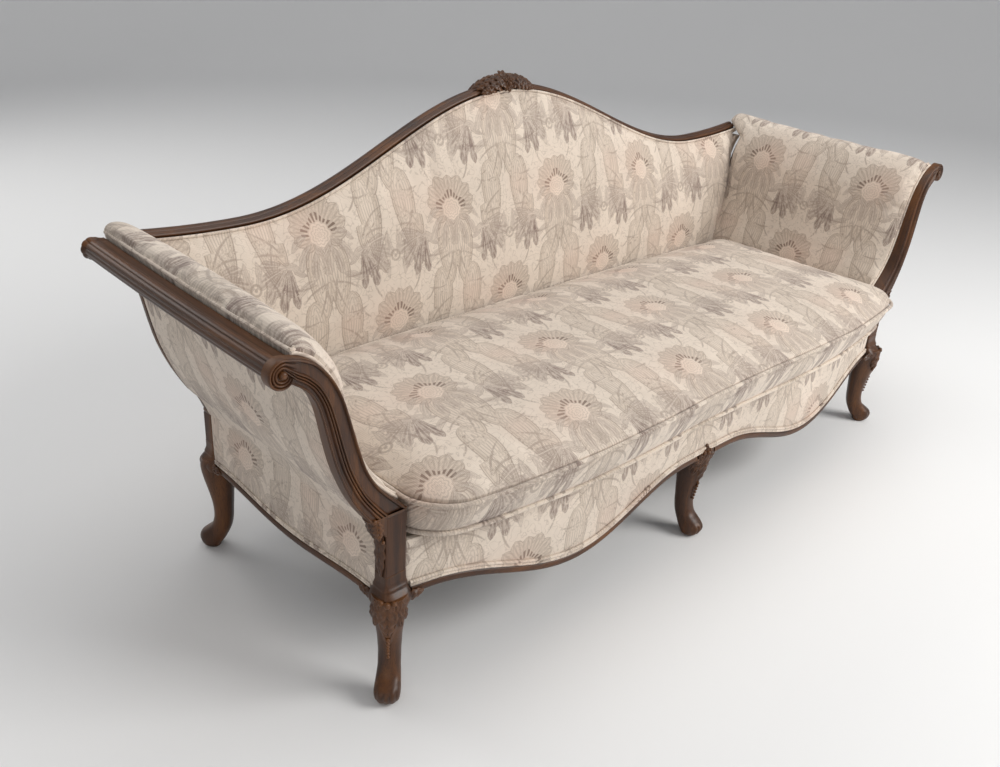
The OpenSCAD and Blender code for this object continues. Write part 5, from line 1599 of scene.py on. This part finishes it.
# %% Floor, lamps and camera
def stage_bowl(flat=5.5, bend=3.0, high=8.0):
    """A round floor that bends up into a wall all round: a profile turned about the middle.
    The floor's radius, the bend's and the wall's height are in metres."""
    t = np.linspace(0, math.pi / 2, 40)[1:]
    out = np.concatenate([np.linspace(0.0001, flat, 30), flat + bend * np.sin(t), np.full(12, flat + bend)])
    up = np.concatenate([np.zeros(30), bend * (1 - np.cos(t)), np.linspace(bend + 0.2, high, 12)])[:, None]
    a = np.linspace(0, 2 * math.pi, 129)[None, :-1]
    grid = points_of(out[:, None] * np.cos(a), out[:, None] * np.sin(a), up)
    faces = grid_faces(*grid.shape[:2], wrap_m=True)
    mesh = bpy.data.meshes.new("studio_floor")
    mesh.from_pydata(grid.reshape(-1, 3).tolist(), [], faces[:, ::-1].tolist())
    mesh.shade_smooth()
    obj = bpy.data.objects.new("studio_floor", mesh)
    bpy.context.scene.collection.objects.link(obj)
    return obj


floor = stage_bowl()
FLOOR, tree, surface = blank("studio_floor_paint")
fill(tree, surface, {"Base Color": linear("#ececec"), "Roughness": 0.7})
floor.data.materials.append(FLOOR)


def matrix(rows):
    """A 4 by 4 matrix for an object from three axes and a place as columns."""
    return Matrix(np.vstack([rows, [0, 0, 0, 1]]).tolist())


def lamp(name, at, size, power, colour, target=(0, 0, 0.4)):
    """A square area lamp that looks at a point."""
    data = bpy.data.lights.new(name, "AREA")
    data.shape, data.size, data.energy, data.color = "SQUARE", size, power, colour
    obj = bpy.data.objects.new(name, data)
    aim = unit(np.array(target, float) - at)
    side = unit(np.cross(aim, [0, 0, 1.0]))
    obj.matrix_world = matrix(np.stack([side, np.cross(side, aim), -aim, at], 1))
    bpy.context.scene.collection.objects.link(obj)


world = bpy.data.worlds.new("studio_air")
world.use_nodes = True
fill(world.node_tree, world.node_tree.nodes["Background"], {"Color": linear("#f2f4f8"), "Strength": 0.35})
scene = bpy.context.scene
scene.world = world
scene.view_settings.view_transform = "Standard"
scene.view_settings.look = "None"
WARM, NEUTRAL = (1.0, 0.985, 0.96), (1.0, 0.99, 0.97)
lamp("key_softbox", (2.0, -3.2, 2.7), 2.2, 150, WARM)
lamp("top_softbox", (0.4, 0.2, 3.8), 3.0, 42, NEUTRAL)
lamp("fill_softbox", (-3.2, -2.0, 1.6), 2.4, 13, NEUTRAL)
lamp("back_softbox", (-1.2, 3.6, 2.4), 2.4, 38, NEUTRAL)

CAMERA_AT, LENS, SENSOR = (-1.6918, -1.3488, 1.3076), 35.88, 36.0
YAW, PITCH, ROLL = math.radians(45.35), math.radians(26.40), math.radians(3.633)
ahead = np.array([math.sin(YAW) * math.cos(PITCH), math.cos(YAW) * math.cos(PITCH), -math.sin(PITCH)])
level = unit(np.cross(ahead, [0, 0, 1.0]))
rise = np.cross(level, ahead)
across = math.cos(ROLL) * level + math.sin(ROLL) * rise
upward = -math.sin(ROLL) * level + math.cos(ROLL) * rise
camera = bpy.data.cameras.new("photo_camera")
camera.lens, camera.sensor_width = LENS, SENSOR
camera_obj = bpy.data.objects.new("photo_camera", camera)
camera_obj.matrix_world = matrix(np.stack([across, upward, -ahead, CAMERA_AT], 1))
scene.collection.objects.link(camera_obj)
scene.camera = camera_obj
print("camera", [round(float(v), 3) for v in camera_obj.location])
